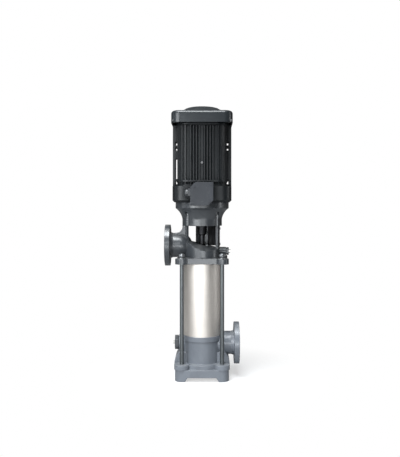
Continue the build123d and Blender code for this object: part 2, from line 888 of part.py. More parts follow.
# --- Bolts between stool and motor ---
def motor_bolt_places():
    return [polar(motor_pcd / 2, 45 + i * 360 / motor_bolt_count) for i in range(motor_bolt_count)]


def motor_bolts():
    bolts = []
    bottom = stool_flange_bottom - motor_head_height
    for x, y in motor_bolt_places():
        shank = rod_z(motor_bolt_d / 2, bottom, motor_face + motor_thread_depth - 2, x, y)
        head = rod_z(motor_head_r, bottom, stool_flange_bottom, x, y)
        bolts.append(shank + head - hex_z(8, bottom - 1, bottom + 5, x, y))
    return bolts


# --- Coupling guard in the right rear window ---
guard_bottom = ring_bottom - guard_height
guard_start = front_axis_angle + front_pillar_turn + front_pillar_angle / 2 - guard_overlap - 360
guard_end = rear_axis_angle - rear_pillar_angle / 2 + guard_overlap


def guard_screw_places():
    places = []
    for angle in (guard_start + guard_overlap / 2, guard_end - guard_overlap / 2):
        for level in (guard_bottom + 10, ring_bottom - 12):
            places.append((angle, level))
    return places


def coupling_guard():
    outer_r = pillar_outer_r + guard_gap + guard_thickness
    top = ring_bottom - guard_gap
    body = sector(outer_r, guard_start, guard_end, guard_bottom, top)
    body -= rod_z(outer_r - guard_thickness, guard_bottom - 1, top + 1)
    for angle, level in guard_screw_places():
        body -= radial_bar(guard_screw_d / 2 + fit_clearance, 0, outer_r + 5, angle, level)
    return body


def guard_screws():
    screws = []
    seat = pillar_outer_r + guard_gap + guard_thickness + fit_clearance
    for angle, level in guard_screw_places():
        shank = radial_bar(guard_screw_d / 2, pillar_outer_r - 6, seat + 1, angle, level)
        screws.append(shank + radial_bar(guard_screw_d * 0.9, seat, seat + 2.5, angle, level))
    return screws


# --- Shafts and coupling ---
def pump_shaft():
    bottom = bush_bottom - shaft_end_clearance
    return chamfer(rod_z(shaft_r, bottom, pump_shaft_top).edges(), 1)


def coupling_body():
    body = rod_z(coupling_r, coupling_step, coupling_top)
    body += rod_z(coupling_hub_r, coupling_bottom, coupling_step + 1)
    body = chamfer(body.edges().group_by(Axis.Z)[0], 3)
    body -= rod_z(shaft_r + fit_clearance / 2, coupling_bottom - 1, motor_shaft_bottom - shaft_ends_gap / 2)
    bore_r = motor_shaft_d / 2 + fit_clearance / 2
    return body - rod_z(bore_r, motor_shaft_bottom - shaft_ends_gap / 2, coupling_top + 1)


def coupling_screw_places():
    levels = (coupling_step + 14, coupling_top - 14)
    return [(x, z) for x in (-coupling_screw_offset, coupling_screw_offset) for z in levels]


coupling_head_seat = -12


def coupling_half(side):
    """side is -1 for the front half and 1 for the rear half."""
    span = 2 * coupling_r
    low = coupling_split / 2
    keep = block(-span, span, low, span, coupling_bottom - 1, coupling_top + 1)
    if side < 0:
        keep = block(-span, span, -span, -low, coupling_bottom - 1, coupling_top + 1)
    body = coupling_body() & keep
    for x, z in coupling_screw_places():
        body -= rod_y(coupling_screw_d / 2 + fit_clearance, -span, coupling_r / 2, x, z)
        body -= rod_y(coupling_screw_d - 0.5, -span, coupling_head_seat, x, z)
    return body


def coupling_screws():
    screws = []
    for x, z in coupling_screw_places():
        shank = rod_y(coupling_screw_d / 2, coupling_head_seat - 1, coupling_r / 2 - 1, x, z)
        head = rod_y(coupling_screw_d - 1, coupling_head_seat - coupling_screw_d, coupling_head_seat, x, z)
        screws.append(shank + head)
    return screws


def motor_shaft():
    bearing_r = bearing_bore_d / 2
    body = rod_z(motor_shaft_d / 2, motor_shaft_bottom, motor_face + 4)
    body += rod_z(bearing_r, motor_face + 4, rear_bearing_bottom + bearing_width)
    body += rod_z(rotor_bore_d / 2, drive_bearing_bottom + bearing_width, rear_bearing_bottom)
    return body + rod_z(fan_shaft_d / 2, rear_bearing_bottom, fan_bottom + fan_height)


# --- Motor ---
def drive_end_shield():
    body = rounded_prism(shield_half, shield_corner_r, motor_face, shield_top)
    body = chamfer(body.edges().group_by(Axis.Z)[0], shield_chamfer)
    body += rod_z(register_d / 2, motor_face - register_depth, motor_face + 1)
    body -= rod_z(bearing_bore_d / 2 + 1, motor_face - register_depth - 1, shield_top)
    body -= rod_z(bearing_outer_r + fit_clearance, drive_bearing_bottom, shield_top + 1)
    body -= rod_z(housing_r - housing_wall, drive_bearing_bottom + bearing_width + 1, shield_top + 1)
    hole_r = motor_bolt_d / 2 + fit_clearance
    for x, y in motor_bolt_places():
        body -= rod_z(hole_r, motor_face - 1, motor_face + motor_thread_depth, x, y)
    return body


def fin_positions():
    """Fin centres on one side: a flat strip in the middle and one wide channel."""
    start = centre_strip_width / 2
    steps = [0, 1, 2, 3, 5, 6, 7]
    ends = [start + fin_pitch * step for step in steps]
    return [-p for p in reversed(ends)] + ends


def fin_outline():
    """The finned cross-section of the housing, before the bore is cut."""
    outline = Circle(housing_r)
    reach = 2 * fin_reach
    for position in fin_positions():
        outline += Pos(position, 0) * Rectangle(fin_thickness, reach)
        if abs(position) > rail_width / 2 + fin_thickness:
            outline += Pos(0, position) * Rectangle(reach, fin_thickness)
    outline += Rectangle(centre_strip_width - 2 * fin_thickness, reach - 2 * fin_thickness)
    return outline & RectangleRounded(reach, reach, fin_envelope_r)


rail_step = housing_height / 10
rail_web_levels = [shield_top + rail_step * k for k in (0.1, 0.95, 6.4, 7.3)]
suction_side_pads = ((1.3, 5.9), (7.6, 10))
discharge_side_pads = ((4.6, 5.9), (7.6, 10))


def mounting_rail(pads):
    """A rail along +X with its ribs and the solid pads between rail and housing."""
    half = rail_width / 2
    root = housing_r - housing_wall / 2
    rail = block(rail_reach - rail_thickness, rail_reach, -half, half, shield_top, housing_top)
    for level in rail_web_levels:
        rail += block(root, rail_reach - 1, -half, half, level, level + rail_web_thickness)
    for low, high in pads:
        bottom = shield_top + rail_step * low
        rail += block(root, rail_reach - 1, -half, half, bottom, shield_top + rail_step * high)
    return rail


def motor_housing():
    flange = housing_flange_thickness
    collar = shield_top + housing_collar_rise
    body = Pos(0, 0, shield_top) * extrude(fin_outline(), housing_height)
    for bottom in (shield_top, collar, housing_top - flange):
        body += rounded_prism(housing_flange_half, fin_envelope_r, bottom, bottom + flange)
    body += mounting_rail(suction_side_pads)
    body += Rot(0, 0, 180) * mounting_rail(discharge_side_pads)
    body -= rod_z(housing_r - housing_wall, shield_top - 1, housing_top + 1)
    hole_r = shield_bolt_d / 2 + fit_clearance
    for x, y in shield_bolt_places():
        body += rod_z(shield_bolt_d, housing_top - 2 * shield_bolt_depth, housing_top, x, y)
        body -= rod_z(hole_r, housing_top - shield_bolt_depth, housing_top + 1, x, y)
    return body


def rear_shield():
    body = rod_z(rear_shield_r, housing_top, housing_top + rear_shield_thickness)
    body += rod_z(bearing_outer_r + 6, rear_bearing_bottom - 4, housing_top + rear_shield_thickness)
    inset = cover_wall + guard_gap
    arm_end = cover_corner_reach - inset
    inside = rounded_prism(cover_half - inset, cover_corner_r - inset, housing_top - 1, cover_top)
    for i in range(4):
        arm = block(rear_shield_r - 8, arm_end, -9, 9, housing_top, housing_top + rear_shield_thickness)
        body += (Rot(0, 0, 45 + 90 * i) * arm) & inside
        body -= cover_screw_hole(45 + 90 * i, arm_end - 12)
    over = housing_top + 2 * rear_shield_thickness
    for x, y in shield_bolt_places():
        body -= rod_z(shield_bolt_d / 2 + fit_clearance, housing_top - 1, over, x, y)
    body -= rod_z(rotor_bore_d / 2 + 1, rear_bearing_bottom - 5, over)
    seat_r = bearing_outer_r + fit_clearance
    return body - rod_z(seat_r, rear_bearing_bottom, rear_bearing_bottom + bearing_width)


def shield_bolt_places():
    return [polar(housing_r - 1, 45 + 90 * i) for i in range(4)]


def shield_bolts():
    """Screws that hold the rear shield on the housing."""
    bolts = []
    top = housing_top + rear_shield_thickness
    for x, y in shield_bolt_places():
        shank = rod_z(shield_bolt_d / 2, housing_top - shield_bolt_depth + 1, top + 1, x, y)
        bolts.append(shank + hex_z(shield_bolt_hex, top, top + 5, x, y))
    return bolts


# --- Stator and rotor ---
def stator_core():
    return ring_z(stator_bore_d / 2, housing_r - housing_wall - fit_clearance, stator_bottom, stator_top)


def stator_windings():
    inner_r = stator_bore_d / 2 + 3
    outer_r = inner_r + winding_wall
    lower = ring_z(inner_r, outer_r, stator_bottom - winding_length, stator_bottom)
    upper = ring_z(inner_r, outer_r, stator_top, stator_top + winding_length)
    lower = chamfer(lower.edges().group_by(Axis.Z)[0], winding_bevel)
    upper = chamfer(upper.edges().group_by(Axis.Z)[-1], winding_bevel)
    return [lower, upper]


def rotor_core():
    bore_r = rotor_bore_d / 2 + fit_clearance / 2
    body = ring_z(bore_r, stator_bore_d / 2 - air_gap, stator_bottom, stator_top)
    inner_r = end_ring_inner_d / 2
    outer_r = end_ring_outer_d / 2
    body += ring_z(inner_r, outer_r, stator_bottom - end_ring_length, stator_bottom + 1)
    return body + ring_z(inner_r, outer_r, stator_top - 1, stator_top + end_ring_length)


bearing_pitch_r = (bearing_bore_d + bearing_od) / 4
race_half = bearing_ball_d / 2 + bearing_race_clearance


def bearing_levels():
    return [drive_bearing_bottom, rear_bearing_bottom]


def bearing_outer_rings():
    inner_r = bearing_pitch_r + race_half
    return [ring_z(inner_r, bearing_outer_r, z, z + bearing_width) for z in bearing_levels()]


def bearing_inner_rings():
    bore_r = bearing_bore_d / 2 + fit_clearance / 2
    return [ring_z(bore_r, bearing_pitch_r - race_half, z, z + bearing_width) for z in bearing_levels()]


def bearing_ball_sets():
    """Balls in their cages, one set for each bearing."""
    solids = []
    for bottom in bearing_levels():
        level = bottom + bearing_width / 2
        inner_r = bearing_pitch_r - cage_thickness / 2
        cage = ring_z(inner_r, inner_r + cage_thickness, level - cage_height / 2, level + cage_height / 2)
        across = (inner_r - 1, inner_r + cage_thickness + 1, -race_half, race_half)
        pocket = block(*across, level - race_half, level + race_half)
        for i in range(bearing_ball_count):
            angle = i * 360 / bearing_ball_count
            x, y = polar(bearing_pitch_r, angle)
            solids.append(Pos(x, y, level) * Sphere(bearing_ball_d / 2))
            cage -= Rot(0, 0, angle) * pocket
        solids.append(cage)
    return solids


# --- Fan and fan cover ---
def motor_fan():
    body = ring_z(fan_shaft_d / 2 + fit_clearance / 2, fan_hub_r, fan_bottom, fan_bottom + fan_height)
    body += ring_z(fan_hub_r - 1, fan_r, fan_bottom, fan_bottom + fan_blade_thickness)
    half = fan_blade_thickness / 2
    blade = block(fan_hub_r - 1, fan_r, -half, half, fan_bottom, fan_bottom + fan_height)
    for i in range(fan_blade_count):
        body += Rot(0, 0, i * 360 / fan_blade_count) * blade
    return body


cover_corner_reach = (cover_half - cover_corner_r) * sqrt(2) + cover_corner_r
cover_screw_z = housing_top + rear_shield_thickness / 2


def cover_screw_hole(angle, start_r):
    hole_r = cover_screw_d / 2 + fit_clearance
    return radial_bar(hole_r, start_r, cover_corner_reach + 5, angle, cover_screw_z)


def cover_shape(inset):
    """The outer form of the fan cover, or its inside when inset by the wall."""
    skirt_top = housing_top + cover_skirt_height - inset
    skirt = rounded_prism(cover_half - inset, cover_corner_r - inset, housing_top - 0.01 * inset, skirt_top)
    skirt = fillet(skirt.edges().group_by(Axis.Z)[-1], cover_shoulder_r - inset)
    cone = turned([
        (0, skirt_top - 1),
        (cover_cone_base_r - inset, skirt_top - 1),
        (cover_cone_base_r - inset, skirt_top),
        (cover_top_r - inset, cover_top - inset),
        (0, cover_top - inset),
    ])
    return skirt + cone


def fan_cover():
    body = cover_shape(0) - cover_shape(cover_wall)
    half = grille_slot_width / 2
    outer_r = grille_inner_r + grille_slot_length
    slot = block(grille_inner_r, outer_r, -half, half, cover_top - cover_cone_height, cover_top + 1)
    for i in range(grille_slot_count):
        body -= Rot(0, 0, i * 360 / grille_slot_count) * slot
    for i in range(4):
        body -= cover_screw_hole(45 + 90 * i, cover_corner_reach - 10)
    return body


def fan_cover_screws():
    screws = []
    seat = cover_corner_reach + fit_clearance
    for i in range(4):
        angle = 45 + 90 * i
        shank = radial_bar(cover_screw_d / 2, seat - 12, seat + 1, angle, cover_screw_z)
        screws.append(shank + radial_bar(cover_screw_d * 0.9, seat, seat + 3, angle, cover_screw_z))
    return screws


# --- Terminal box ---
def box_outline(inset):
    """Front outline of the box, with two opposite corners cut off."""
    w = box_half_width - inset
    low = box_bottom + inset
    high = box_top - inset
    c = box_chamfer - inset * 0.6
    points = [(-w, low), (w - c, low), (w, low + c), (w, high), (-w + c, high), (-w, high - c)]
    return make_face(Polyline(*points, close=True))


def box_prism(inset, back, front):
    """A prism on the box outline; back and front are distances towards -Y."""
    return Pos(0, -back, 0) * extrude(Plane.XZ * box_outline(inset), front - back)


lid_corner = box_wall + 4
lid_screw_places = [
    (box_half_width - lid_corner, box_top - lid_corner),
    (lid_corner - box_half_width, box_bottom + lid_corner),
    (box_chamfer - box_half_width - 4, box_top - box_chamfer + 4),
    (box_half_width - box_chamfer + 4, box_bottom + box_chamfer - 4),
]
gland_z = box_bottom + gland_rise
gland_y = -(shield_half + box_depth / 2)


def terminal_box():
    body = box_prism(0, shield_half, box_front)
    body -= box_prism(box_wall, shield_half + box_wall, box_front + 1)
    for x, z in lid_screw_places:
        body += rod_y(lid_screw_d, -box_front, -shield_half - box_wall + 1, x, z)
    body &= box_prism(0, shield_half, box_front)
    for x, z in lid_screw_places:
        body -= rod_y(lid_screw_d / 2 + fit_clearance, -box_front - 1, -box_front + 14, x, z)
    return body - rod_x(gland_thread_d / 2 + fit_clearance, -box_half_width - 1, 0, gland_y, gland_z)


def lid_gasket():
    body = box_prism(0.5, box_front, lid_back) - box_prism(box_wall, box_front - 1, lid_back + 1)
    return body


def terminal_box_lid():
    front = lid_back + lid_depth
    body = box_prism(0, lid_back, front) - box_prism(lid_wall, lid_back - 1, front - lid_wall)
    for x, z in lid_screw_places:
        body += rod_y(lid_screw_d, -front, -lid_back, x, z)
    body &= box_prism(0, lid_back, front)
    for x, z in lid_screw_places:
        body -= rod_y(lid_screw_d / 2 + fit_clearance, -front - 1, -lid_back + 1, x, z)
    return body


def lid_screws():
    screws = []
    front = lid_back + lid_depth
    for x, z in lid_screw_places:
        shank = rod_y(lid_screw_d / 2, -front - 1, -box_front + 12, x, z)
        screws.append(shank + rod_y(lid_screw_d * 0.85, -front - 2.5, -front, x, z))
    return screws


board_back = shield_half + box_wall
board_z = box_bottom + box_height / 2


def terminal_board():
    half = board_width / 2
    low = board_z - board_height / 2
    return block(-half, half, -board_back - board_depth, -board_back, low, low + board_height)


def terminal_studs():
    front = board_back + board_depth
    levels = (board_z - board_height / 4, board_z + board_height / 4)
    studs = []
    for x in (-stud_pitch, 0, stud_pitch):
        for z in levels:
            studs.append(rod_y(stud_d / 2, -front - stud_length, -front, x, z))
    return studs


def cable_gland():
    outer = -box_half_width - gland_body_length
    body = rod_x(gland_thread_d / 2, -box_half_width + box_wall + 4, outer, gland_y, gland_z)
    body += hex_x(gland_hex, -box_half_width, outer, gland_y, gland_z)
    return body - rod_x(gland_cable_d / 2, -2 * box_half_width, 0, gland_y, gland_z)


def gland_nut():
    inner = -box_half_width - gland_body_length
    outer = inner - gland_nut_length
    body = rod_x(gland_nut_d / 2, inner, outer, gland_y, gland_z)
    body = chamfer(body.edges().group_by(Axis.X)[0], gland_nut_bevel)
    return body - rod_x(gland_cable_d / 2, 2 * outer, 0, gland_y, gland_z)


# --- Write one file per piece ---
def save(name, shape):
    if isinstance(shape, (list, tuple)):
        shape = Compound(children=[piece for piece in shape])
    export_step(shape, f"parts/{name}.step")


def main():
    os.makedirs("parts", exist_ok=True)
    save("suction_base", suction_base())
    save("drain_plug", plug(-drain_boss_reach, drain_axis_z, drain_thread_d, drain_hex, drain_head_length))
    save("vent_plug", plug(vent_boss_reach, vent_axis_z, vent_thread_d, vent_hex, vent_head_length))
    save("plug_washers", [
        plug_washer(-drain_boss_reach, drain_axis_z, drain_thread_d, drain_hex),
        plug_washer(vent_boss_reach, vent_axis_z, vent_thread_d, vent_hex),
    ])
    save("drain_bleed_screw", bleed_screw(-drain_boss_reach, drain_axis_z, drain_head_length, bleed_hex))
    save("vent_screw", vent_needle())
    save("outer_sleeve", outer_sleeve())
    save("sleeve_o_rings", [o_ring(base_groove_z), o_ring(head_groove_z)])
    save("tie_rods", tie_rods())
    save("tie_rod_washers", tie_rod_washers())
    save("tie_rod_nuts", tie_rod_nuts())
    save("inlet_guide", inlet_guide())
    save("shaft_bush", shaft_bush())
    for i in range(stage_count):
        save(f"stage_bowl_{i + 1}", stage_bowl(i))
        save(f"impeller_{i + 1}", impeller(i))
    save("stack_clamp_ring", stack_clamp_ring())
    save("shaft_spacers", shaft_spacers())
    save("impeller_nut", impeller_nut())
    save("seal_head", seal_head())
    save("seal_seat", seal_seat())
    save("seal_cover", seal_cover())
    save("seal_cover_screws", seal_cover_screws())
    save("discharge_head", discharge_head())
    save("motor_bolts", motor_bolts())
    save("coupling_guard", coupling_guard())
    save("guard_screws", guard_screws())
    save("pump_shaft", pump_shaft())
    save("coupling_half_front", coupling_half(-1))
    save("coupling_half_rear", coupling_half(1))
    save("coupling_screws", coupling_screws())
    save("motor_shaft", motor_shaft())
    save("drive_end_shield", drive_end_shield())
    save("motor_housing", motor_housing())
    save("rear_shield", rear_shield())
    save("shield_bolts", shield_bolts())
    save("stator_core", stator_core())
    save("stator_windings", stator_windings())
    save("rotor_core", rotor_core())
    save("bearing_outer_rings", bearing_outer_rings())
    save("bearing_inner_rings", bearing_inner_rings())
    save("bearing_ball_sets", bearing_ball_sets())
    save("motor_fan", motor_fan())
    save("fan_cover", fan_cover())
    save("fan_cover_screws", fan_cover_screws())
    save("terminal_box", terminal_box())
    save("lid_gasket", lid_gasket())
    save("terminal_box_lid", terminal_box_lid())
    save("lid_screws", lid_screws())
    save("terminal_board", terminal_board())
    save("terminal_studs", terminal_studs())
    save("cable_gland", cable_gland())
    save("gland_nut", gland_nut())


main()
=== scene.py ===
from math import cos, pi, radians, sin

import bmesh
import bpy
from bpy.props import FloatProperty, FloatVectorProperty, IntProperty, PointerProperty
from mathutils import Matrix, Vector


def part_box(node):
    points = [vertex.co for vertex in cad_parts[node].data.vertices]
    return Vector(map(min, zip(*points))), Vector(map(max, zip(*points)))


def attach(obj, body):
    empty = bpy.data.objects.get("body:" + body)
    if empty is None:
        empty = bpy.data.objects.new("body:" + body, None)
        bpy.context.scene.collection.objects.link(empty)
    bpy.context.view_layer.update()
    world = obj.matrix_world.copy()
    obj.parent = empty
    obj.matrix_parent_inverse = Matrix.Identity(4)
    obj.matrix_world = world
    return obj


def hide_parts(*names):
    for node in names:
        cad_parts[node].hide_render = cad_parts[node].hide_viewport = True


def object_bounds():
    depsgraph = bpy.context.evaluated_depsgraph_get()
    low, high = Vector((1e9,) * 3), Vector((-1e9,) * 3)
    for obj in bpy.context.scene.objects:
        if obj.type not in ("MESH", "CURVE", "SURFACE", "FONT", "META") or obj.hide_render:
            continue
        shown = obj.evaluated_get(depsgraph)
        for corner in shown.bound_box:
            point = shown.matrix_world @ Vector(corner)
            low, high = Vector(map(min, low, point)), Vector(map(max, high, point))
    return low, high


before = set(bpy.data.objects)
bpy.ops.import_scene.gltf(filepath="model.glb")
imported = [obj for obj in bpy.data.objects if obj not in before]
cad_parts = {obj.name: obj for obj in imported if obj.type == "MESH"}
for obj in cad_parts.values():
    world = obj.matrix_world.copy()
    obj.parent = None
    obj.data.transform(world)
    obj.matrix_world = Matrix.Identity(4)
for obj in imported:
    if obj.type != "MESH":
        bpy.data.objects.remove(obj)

bl_info = {
    "name": "Vertical multistage pump",
    "version": (1, 0, 0),
    "blender": (4, 5, 0),
    "location": "View3D > Sidebar > Pump",
    "description": "Finishes and small details of a vertical multistage pump with its motor",
    "category": "Object",
}

CAD_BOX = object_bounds()
PUMP_MIDDLE = (0.0, 0.0, (CAD_BOX[0][2] + CAD_BOX[1][2]) / 2)

# --- Fixed sizes in metres, shares and counts ---
COVER_WALL = 0.002
COVER_CORNER = 0.034
SHOULDER_RADIUS = 0.012
SHOULDER_STEPS = 6
CORNER_SEGMENTS = 24
CROWN_BASE = 0.100
CROWN_FOOT_RISE = 0.001
CROWN_FOOT_RADIUS = 0.006
CROWN_RIM_WIDTH = 0.005
CROWN_RIM_DROP = 0.0015
CROWN_DISC_SHARE = 0.35
ROUND_SHARE = 0.999
LOUVRE_SHARE = 0.3

ROD_RADIUS = 0.008
NUT_FLATS = 0.024
NUT_BORE_SHARE = 1.02
HEX_SEGMENTS = 36
HEX_TOP_SHARE = 0.95
THREAD_SEGMENTS = 24
THREAD_CREST = 1.03
THREAD_ROOT = 1.004
THREAD_OVERLAP = 0.001

SCREW_FLATS = 0.006
SCREW_HEIGHT = 0.004
SCREW_WASHER_R = 0.0045
SCREW_WASHER_DEPTH = 0.0012
SCREW_WASHER_SEGMENTS = 32
SCREW_SHARE = 0.37

GLAND_RIBS = 18
GLAND_GROOVE = 0.94
GLAND_SMOOTH_SHARE = 0.9
# (place along the nut, share of its radius) of each ring, from the box outwards and back into the bore
GLAND_PROFILE = ((0.0, 0.97), (0.05, 1.0), (0.62, 1.0), (0.84, 0.86), (1.0, 0.64), (1.0, 0.5), (0.5, 0.48))

# edges that turn by more than these stay sharp when a piece is shaded smooth
CREASE_ANGLE = radians(35)
FACET_ANGLE = radians(20)
RIB_ANGLE = radians(30)

EDGE_SAMPLES = 6
SHEET_SCALE = 320.0
WIRE_SCALE = 90.0

# --- Tones that are not settings ---
HEAVY_DUST = (0.30, 0.30, 0.29, 1.0)
LIGHT_DUST = (0.22, 0.22, 0.21, 1.0)
WORN_PRIMER = (0.16, 0.16, 0.16, 1.0)
ENAMEL_DARK = (0.20, 0.055, 0.018, 1.0)
ENAMEL_BRIGHT = (0.55, 0.20, 0.07, 1.0)
# near-black of the coupling guard: painted shade for the shadow inside the stool window
GUARD_SHADE_BLACK = (0.012, 0.012, 0.013)
ROD_STEEL = (0.135, 0.145, 0.15)
NUT_STEEL = (0.28, 0.29, 0.30)
SCREW_STEEL = (0.16, 0.16, 0.165)
FASTENER_STEEL = (0.20, 0.205, 0.21)
BLEED_NICKEL = (0.72, 0.70, 0.66)
STUD_BRASS = (0.72, 0.50, 0.19)
STAGE_STEEL = (0.60, 0.60, 0.59)
SHAFT_STEEL = (0.55, 0.55, 0.55)
# near-black of the coupling halves and the steel pump shaft: painted shade for the shadow inside the stool
# window
COUPLING_SHADE_BLACK = (0.030, 0.030, 0.032)
SHEET_STEEL = (0.20, 0.20, 0.21)
ROTOR_STEEL = (0.42, 0.42, 0.43)
BEARING_STEEL = (0.68, 0.68, 0.68)
GLAND_NYLON = (0.020, 0.022, 0.025)
FAN_PLASTIC = (0.018, 0.018, 0.018)
CARBON = (0.025, 0.025, 0.027)
RUBBER = (0.018, 0.018, 0.018)
BOARD_RESIN = (0.16, 0.045, 0.020)

# --- Studio ---
FRAME_HEIGHT = 457
SENSOR = 36.0
HORIZON_RISE = 20.5
AXIS_SHIFT = 2.15
LAMP_TINT = (0.94, 0.975, 1.0)
# (name, place, point it is aimed at, width, height, watts)
LAMPS = (
    ("key_front", (-1.35, -2.35, 1.15), PUMP_MIDDLE, 1.8, 1.5, 82),
    ("key_low", (0.30, -2.6, 0.25), (0.0, 0.0, 0.3), 1.3, 0.5, 18),
    ("ceiling", (-0.35, -0.85, 2.7), PUMP_MIDDLE, 1.5, 1.1, 108),
    ("fill_right", (2.2, -0.2, 1.0), PUMP_MIDDLE, 0.3, 1.6, 9),
    ("fill_left", (-2.3, -0.2, 0.9), PUMP_MIDDLE, 0.3, 1.6, 4),
)
FLOOR_SEEN = (0.90, 0.90, 0.90, 1.0)
FLOOR_LIT = (0.32, 0.32, 0.32, 1.0)
SHADOW_REACH = (0.18, 0.50)
SHADOW_GLOW = 0.55
WORLD_LEFT_LEVEL = 0.14
WORLD_RIGHT_LEVEL = 0.09
WORLD_LEVEL_SPAN = (-0.8, 0.9)
WORLD_WARM_SPAN = (0.2, 0.9)
WORLD_COOL = (0.97, 0.985, 1.0, 1.0)
WORLD_WARM = (1.0, 0.90, 0.80, 1.0)
WHITE = (1.0, 1.0, 1.0, 1.0)


# --- Settings ---
class PumpFinishes(bpy.types.PropertyGroup):
    """Colours and surface values of the pump's finishes."""
    casting_colour: FloatVectorProperty(
        name="Casting paint", description="Paint of the base casting", subtype="COLOR",
        default=(0.132, 0.146, 0.168), min=0, max=1)
    # partly the head's own dark paint and partly painted shade, darkened for the stool under the motor
    head_colour_with_shade: FloatVectorProperty(
        name="Head paint", description="Paint of the discharge head and stool", subtype="COLOR",
        default=(0.036, 0.040, 0.045), min=0, max=1)
    motor_colour: FloatVectorProperty(
        name="Motor paint", description="Paint of the motor housing", subtype="COLOR",
        default=(0.0045, 0.0058, 0.0068), min=0, max=1)
    cover_colour: FloatVectorProperty(
        name="Fan cover paint", description="Paint of the fan cover", subtype="COLOR",
        default=(0.012, 0.0145, 0.0165), min=0, max=1)
    box_colour: FloatVectorProperty(
        name="Terminal box paint", description="Paint of the terminal box", subtype="COLOR",
        default=(0.0165, 0.019, 0.024), min=0, max=1)
    sleeve_colour: FloatVectorProperty(
        name="Sleeve steel", description="Brushed stainless steel of the sleeve", subtype="COLOR",
        default=(0.70, 0.655, 0.61), min=0, max=1)
    cover_shoulder: FloatProperty(
        name="Cover shoulder", description="Depth of the fan cover's shoulder below its top",
        default=0.023, min=0.005, max=0.04, unit="LENGTH")
    cover_crown_radius: FloatProperty(
        name="Crown radius", description="Radius of the flat top of the fan cover",
        default=0.066, min=0.03, max=0.09, unit="LENGTH")
    grille_slots: IntProperty(
        name="Grille slots", description="Air slots round the fan cover's crown",
        default=16, min=4, max=32)
    chamfer_rise: FloatProperty(
        name="Nut chamfer", description="Slope of the chamfer on nuts and screw heads",
        default=0.5, min=0.1, max=1)
    thread_pitch: FloatProperty(
        name="Thread pitch", description="Pitch of the thread on the tie rod ends",
        default=0.002, min=0.0005, max=0.004, unit="LENGTH")
    grain_size: FloatProperty(
        name="Casting grain", description="Size of the sand grain on castings",
        default=0.0016, min=0.0002, max=0.02, unit="LENGTH")
    brush_pitch: FloatProperty(
        name="Brush pitch", description="Distance between brush marks on the steel",
        default=0.0009, min=0.0001, max=0.01, unit="LENGTH")


class PumpStage(bpy.types.PropertyGroup):
    """Camera and light of the studio."""
    camera_azimuth: FloatProperty(
        name="Azimuth", description="Camera turn towards the suction side",
        default=radians(0.5), unit="ROTATION")
    camera_distance: FloatProperty(
        name="Distance", description="Camera distance from the shaft axis",
        default=2.259, min=0.5, unit="LENGTH")
    camera_height: FloatProperty(
        name="Height", description="Camera height above the floor",
        default=0.6705, min=0, unit="LENGTH")
    floor_size: FloatProperty(
        name="Floor size", description="Width of the studio floor", default=14, min=2, unit="LENGTH")
    focal_length: FloatProperty(
        name="Lens", description="Focal length in millimetres", default=44.1, min=10)
    backdrop_level: FloatProperty(
        name="Backdrop", description="How white the backdrop looks", default=1.0, min=0)


def finishes():
    return bpy.context.scene.pump_finishes


def stage_settings():
    return bpy.context.scene.pump_stage


# --- Node helpers ---
class Tree:
    """A node tree with short calls for adding and joining nodes."""

    def __init__(self, tree):
        self.tree = tree

    def node(self, kind, inputs=None, **settings):
        item = self.tree.nodes.new(kind)
        for key, value in settings.items():
            setattr(item, key, value)
        for key, value in (inputs or {}).items():
            socket = item.inputs[key]
            if isinstance(value, bpy.types.NodeSocket):
                self.tree.links.new(value, socket)
            else:
                socket.default_value = value
        return item

    def link(self, output, target):
        self.tree.links.new(output, target)

    def math(self, operation, a, b=0.0, clamp=False):
        item = self.node("ShaderNodeMath", {0: a, 1: b}, operation=operation, use_clamp=clamp)
        return item.outputs[0]

    def scaled(self, vector, scale):
        """The vector with each part multiplied by its own scale."""
        item = self.node("ShaderNodeVectorMath", {0: vector, 1: scale}, operation="MULTIPLY")
        return item.outputs[0]

    def noise(self, vector, scale, detail=3.0, roughness=0.55, distortion=0.0):
        sockets = {"Vector": vector, "Scale": scale, "Detail": detail, "Roughness": roughness,
                   "Distortion": distortion}
        return self.node("ShaderNodeTexNoise", sockets).outputs["Fac"]

    def ramp(self, value, low, high, start=0.0, end=1.0):
        """The value moved from low..high to start..end, and held there beyond."""
        sockets = {"Value": value, "From Min": low, "From Max": high, "To Min": start, "To Max": end}
        return self.node("ShaderNodeMapRange", sockets, clamp=True).outputs["Result"]

    def mix(self, factor, a, b, blend="MIX"):
        item = self.node("ShaderNodeMix", data_type="RGBA", blend_type=blend)
        for socket, value in ((item.inputs[0], factor), (item.inputs[6], a), (item.inputs[7], b)):
            if isinstance(value, bpy.types.NodeSocket):
                self.link(value, socket)
            else:
                socket.default_value = value
        return item.outputs[2]

    def group(self, name, **values):
        item = self.tree.nodes.new("ShaderNodeGroup")
        item.node_tree = bpy.data.node_groups[name]
        for key, value in values.items():
            socket = item.inputs[key.replace("_", " ").title()]
            if isinstance(value, bpy.types.NodeSocket):
                self.link(value, socket)
            else:
                socket.default_value = value
        return item.outputs


def rgba(colour, scale=1.0):
    """The colour, lighter or darker by scale, with full alpha."""
    return (colour[0] * scale, colour[1] * scale, colour[2] * scale, 1.0)


def new_group(name, inputs, outputs):
    """A shader node group with named number inputs and outputs."""
    data = bpy.data.node_groups.new(name, "ShaderNodeTree")
    for key, value in inputs.items():
        kind = "NodeSocketVector" if key == "Vector" else "NodeSocketFloat"
        socket = data.interface.new_socket(key, in_out="INPUT", socket_type=kind)
        if key != "Vector":
            socket.default_value = value
    for key in outputs:
        data.interface.new_socket(key, in_out="OUTPUT", socket_type="NodeSocketFloat")
    tree = Tree(data)
    return tree, tree.node("NodeGroupInput"), tree.node("NodeGroupOutput")


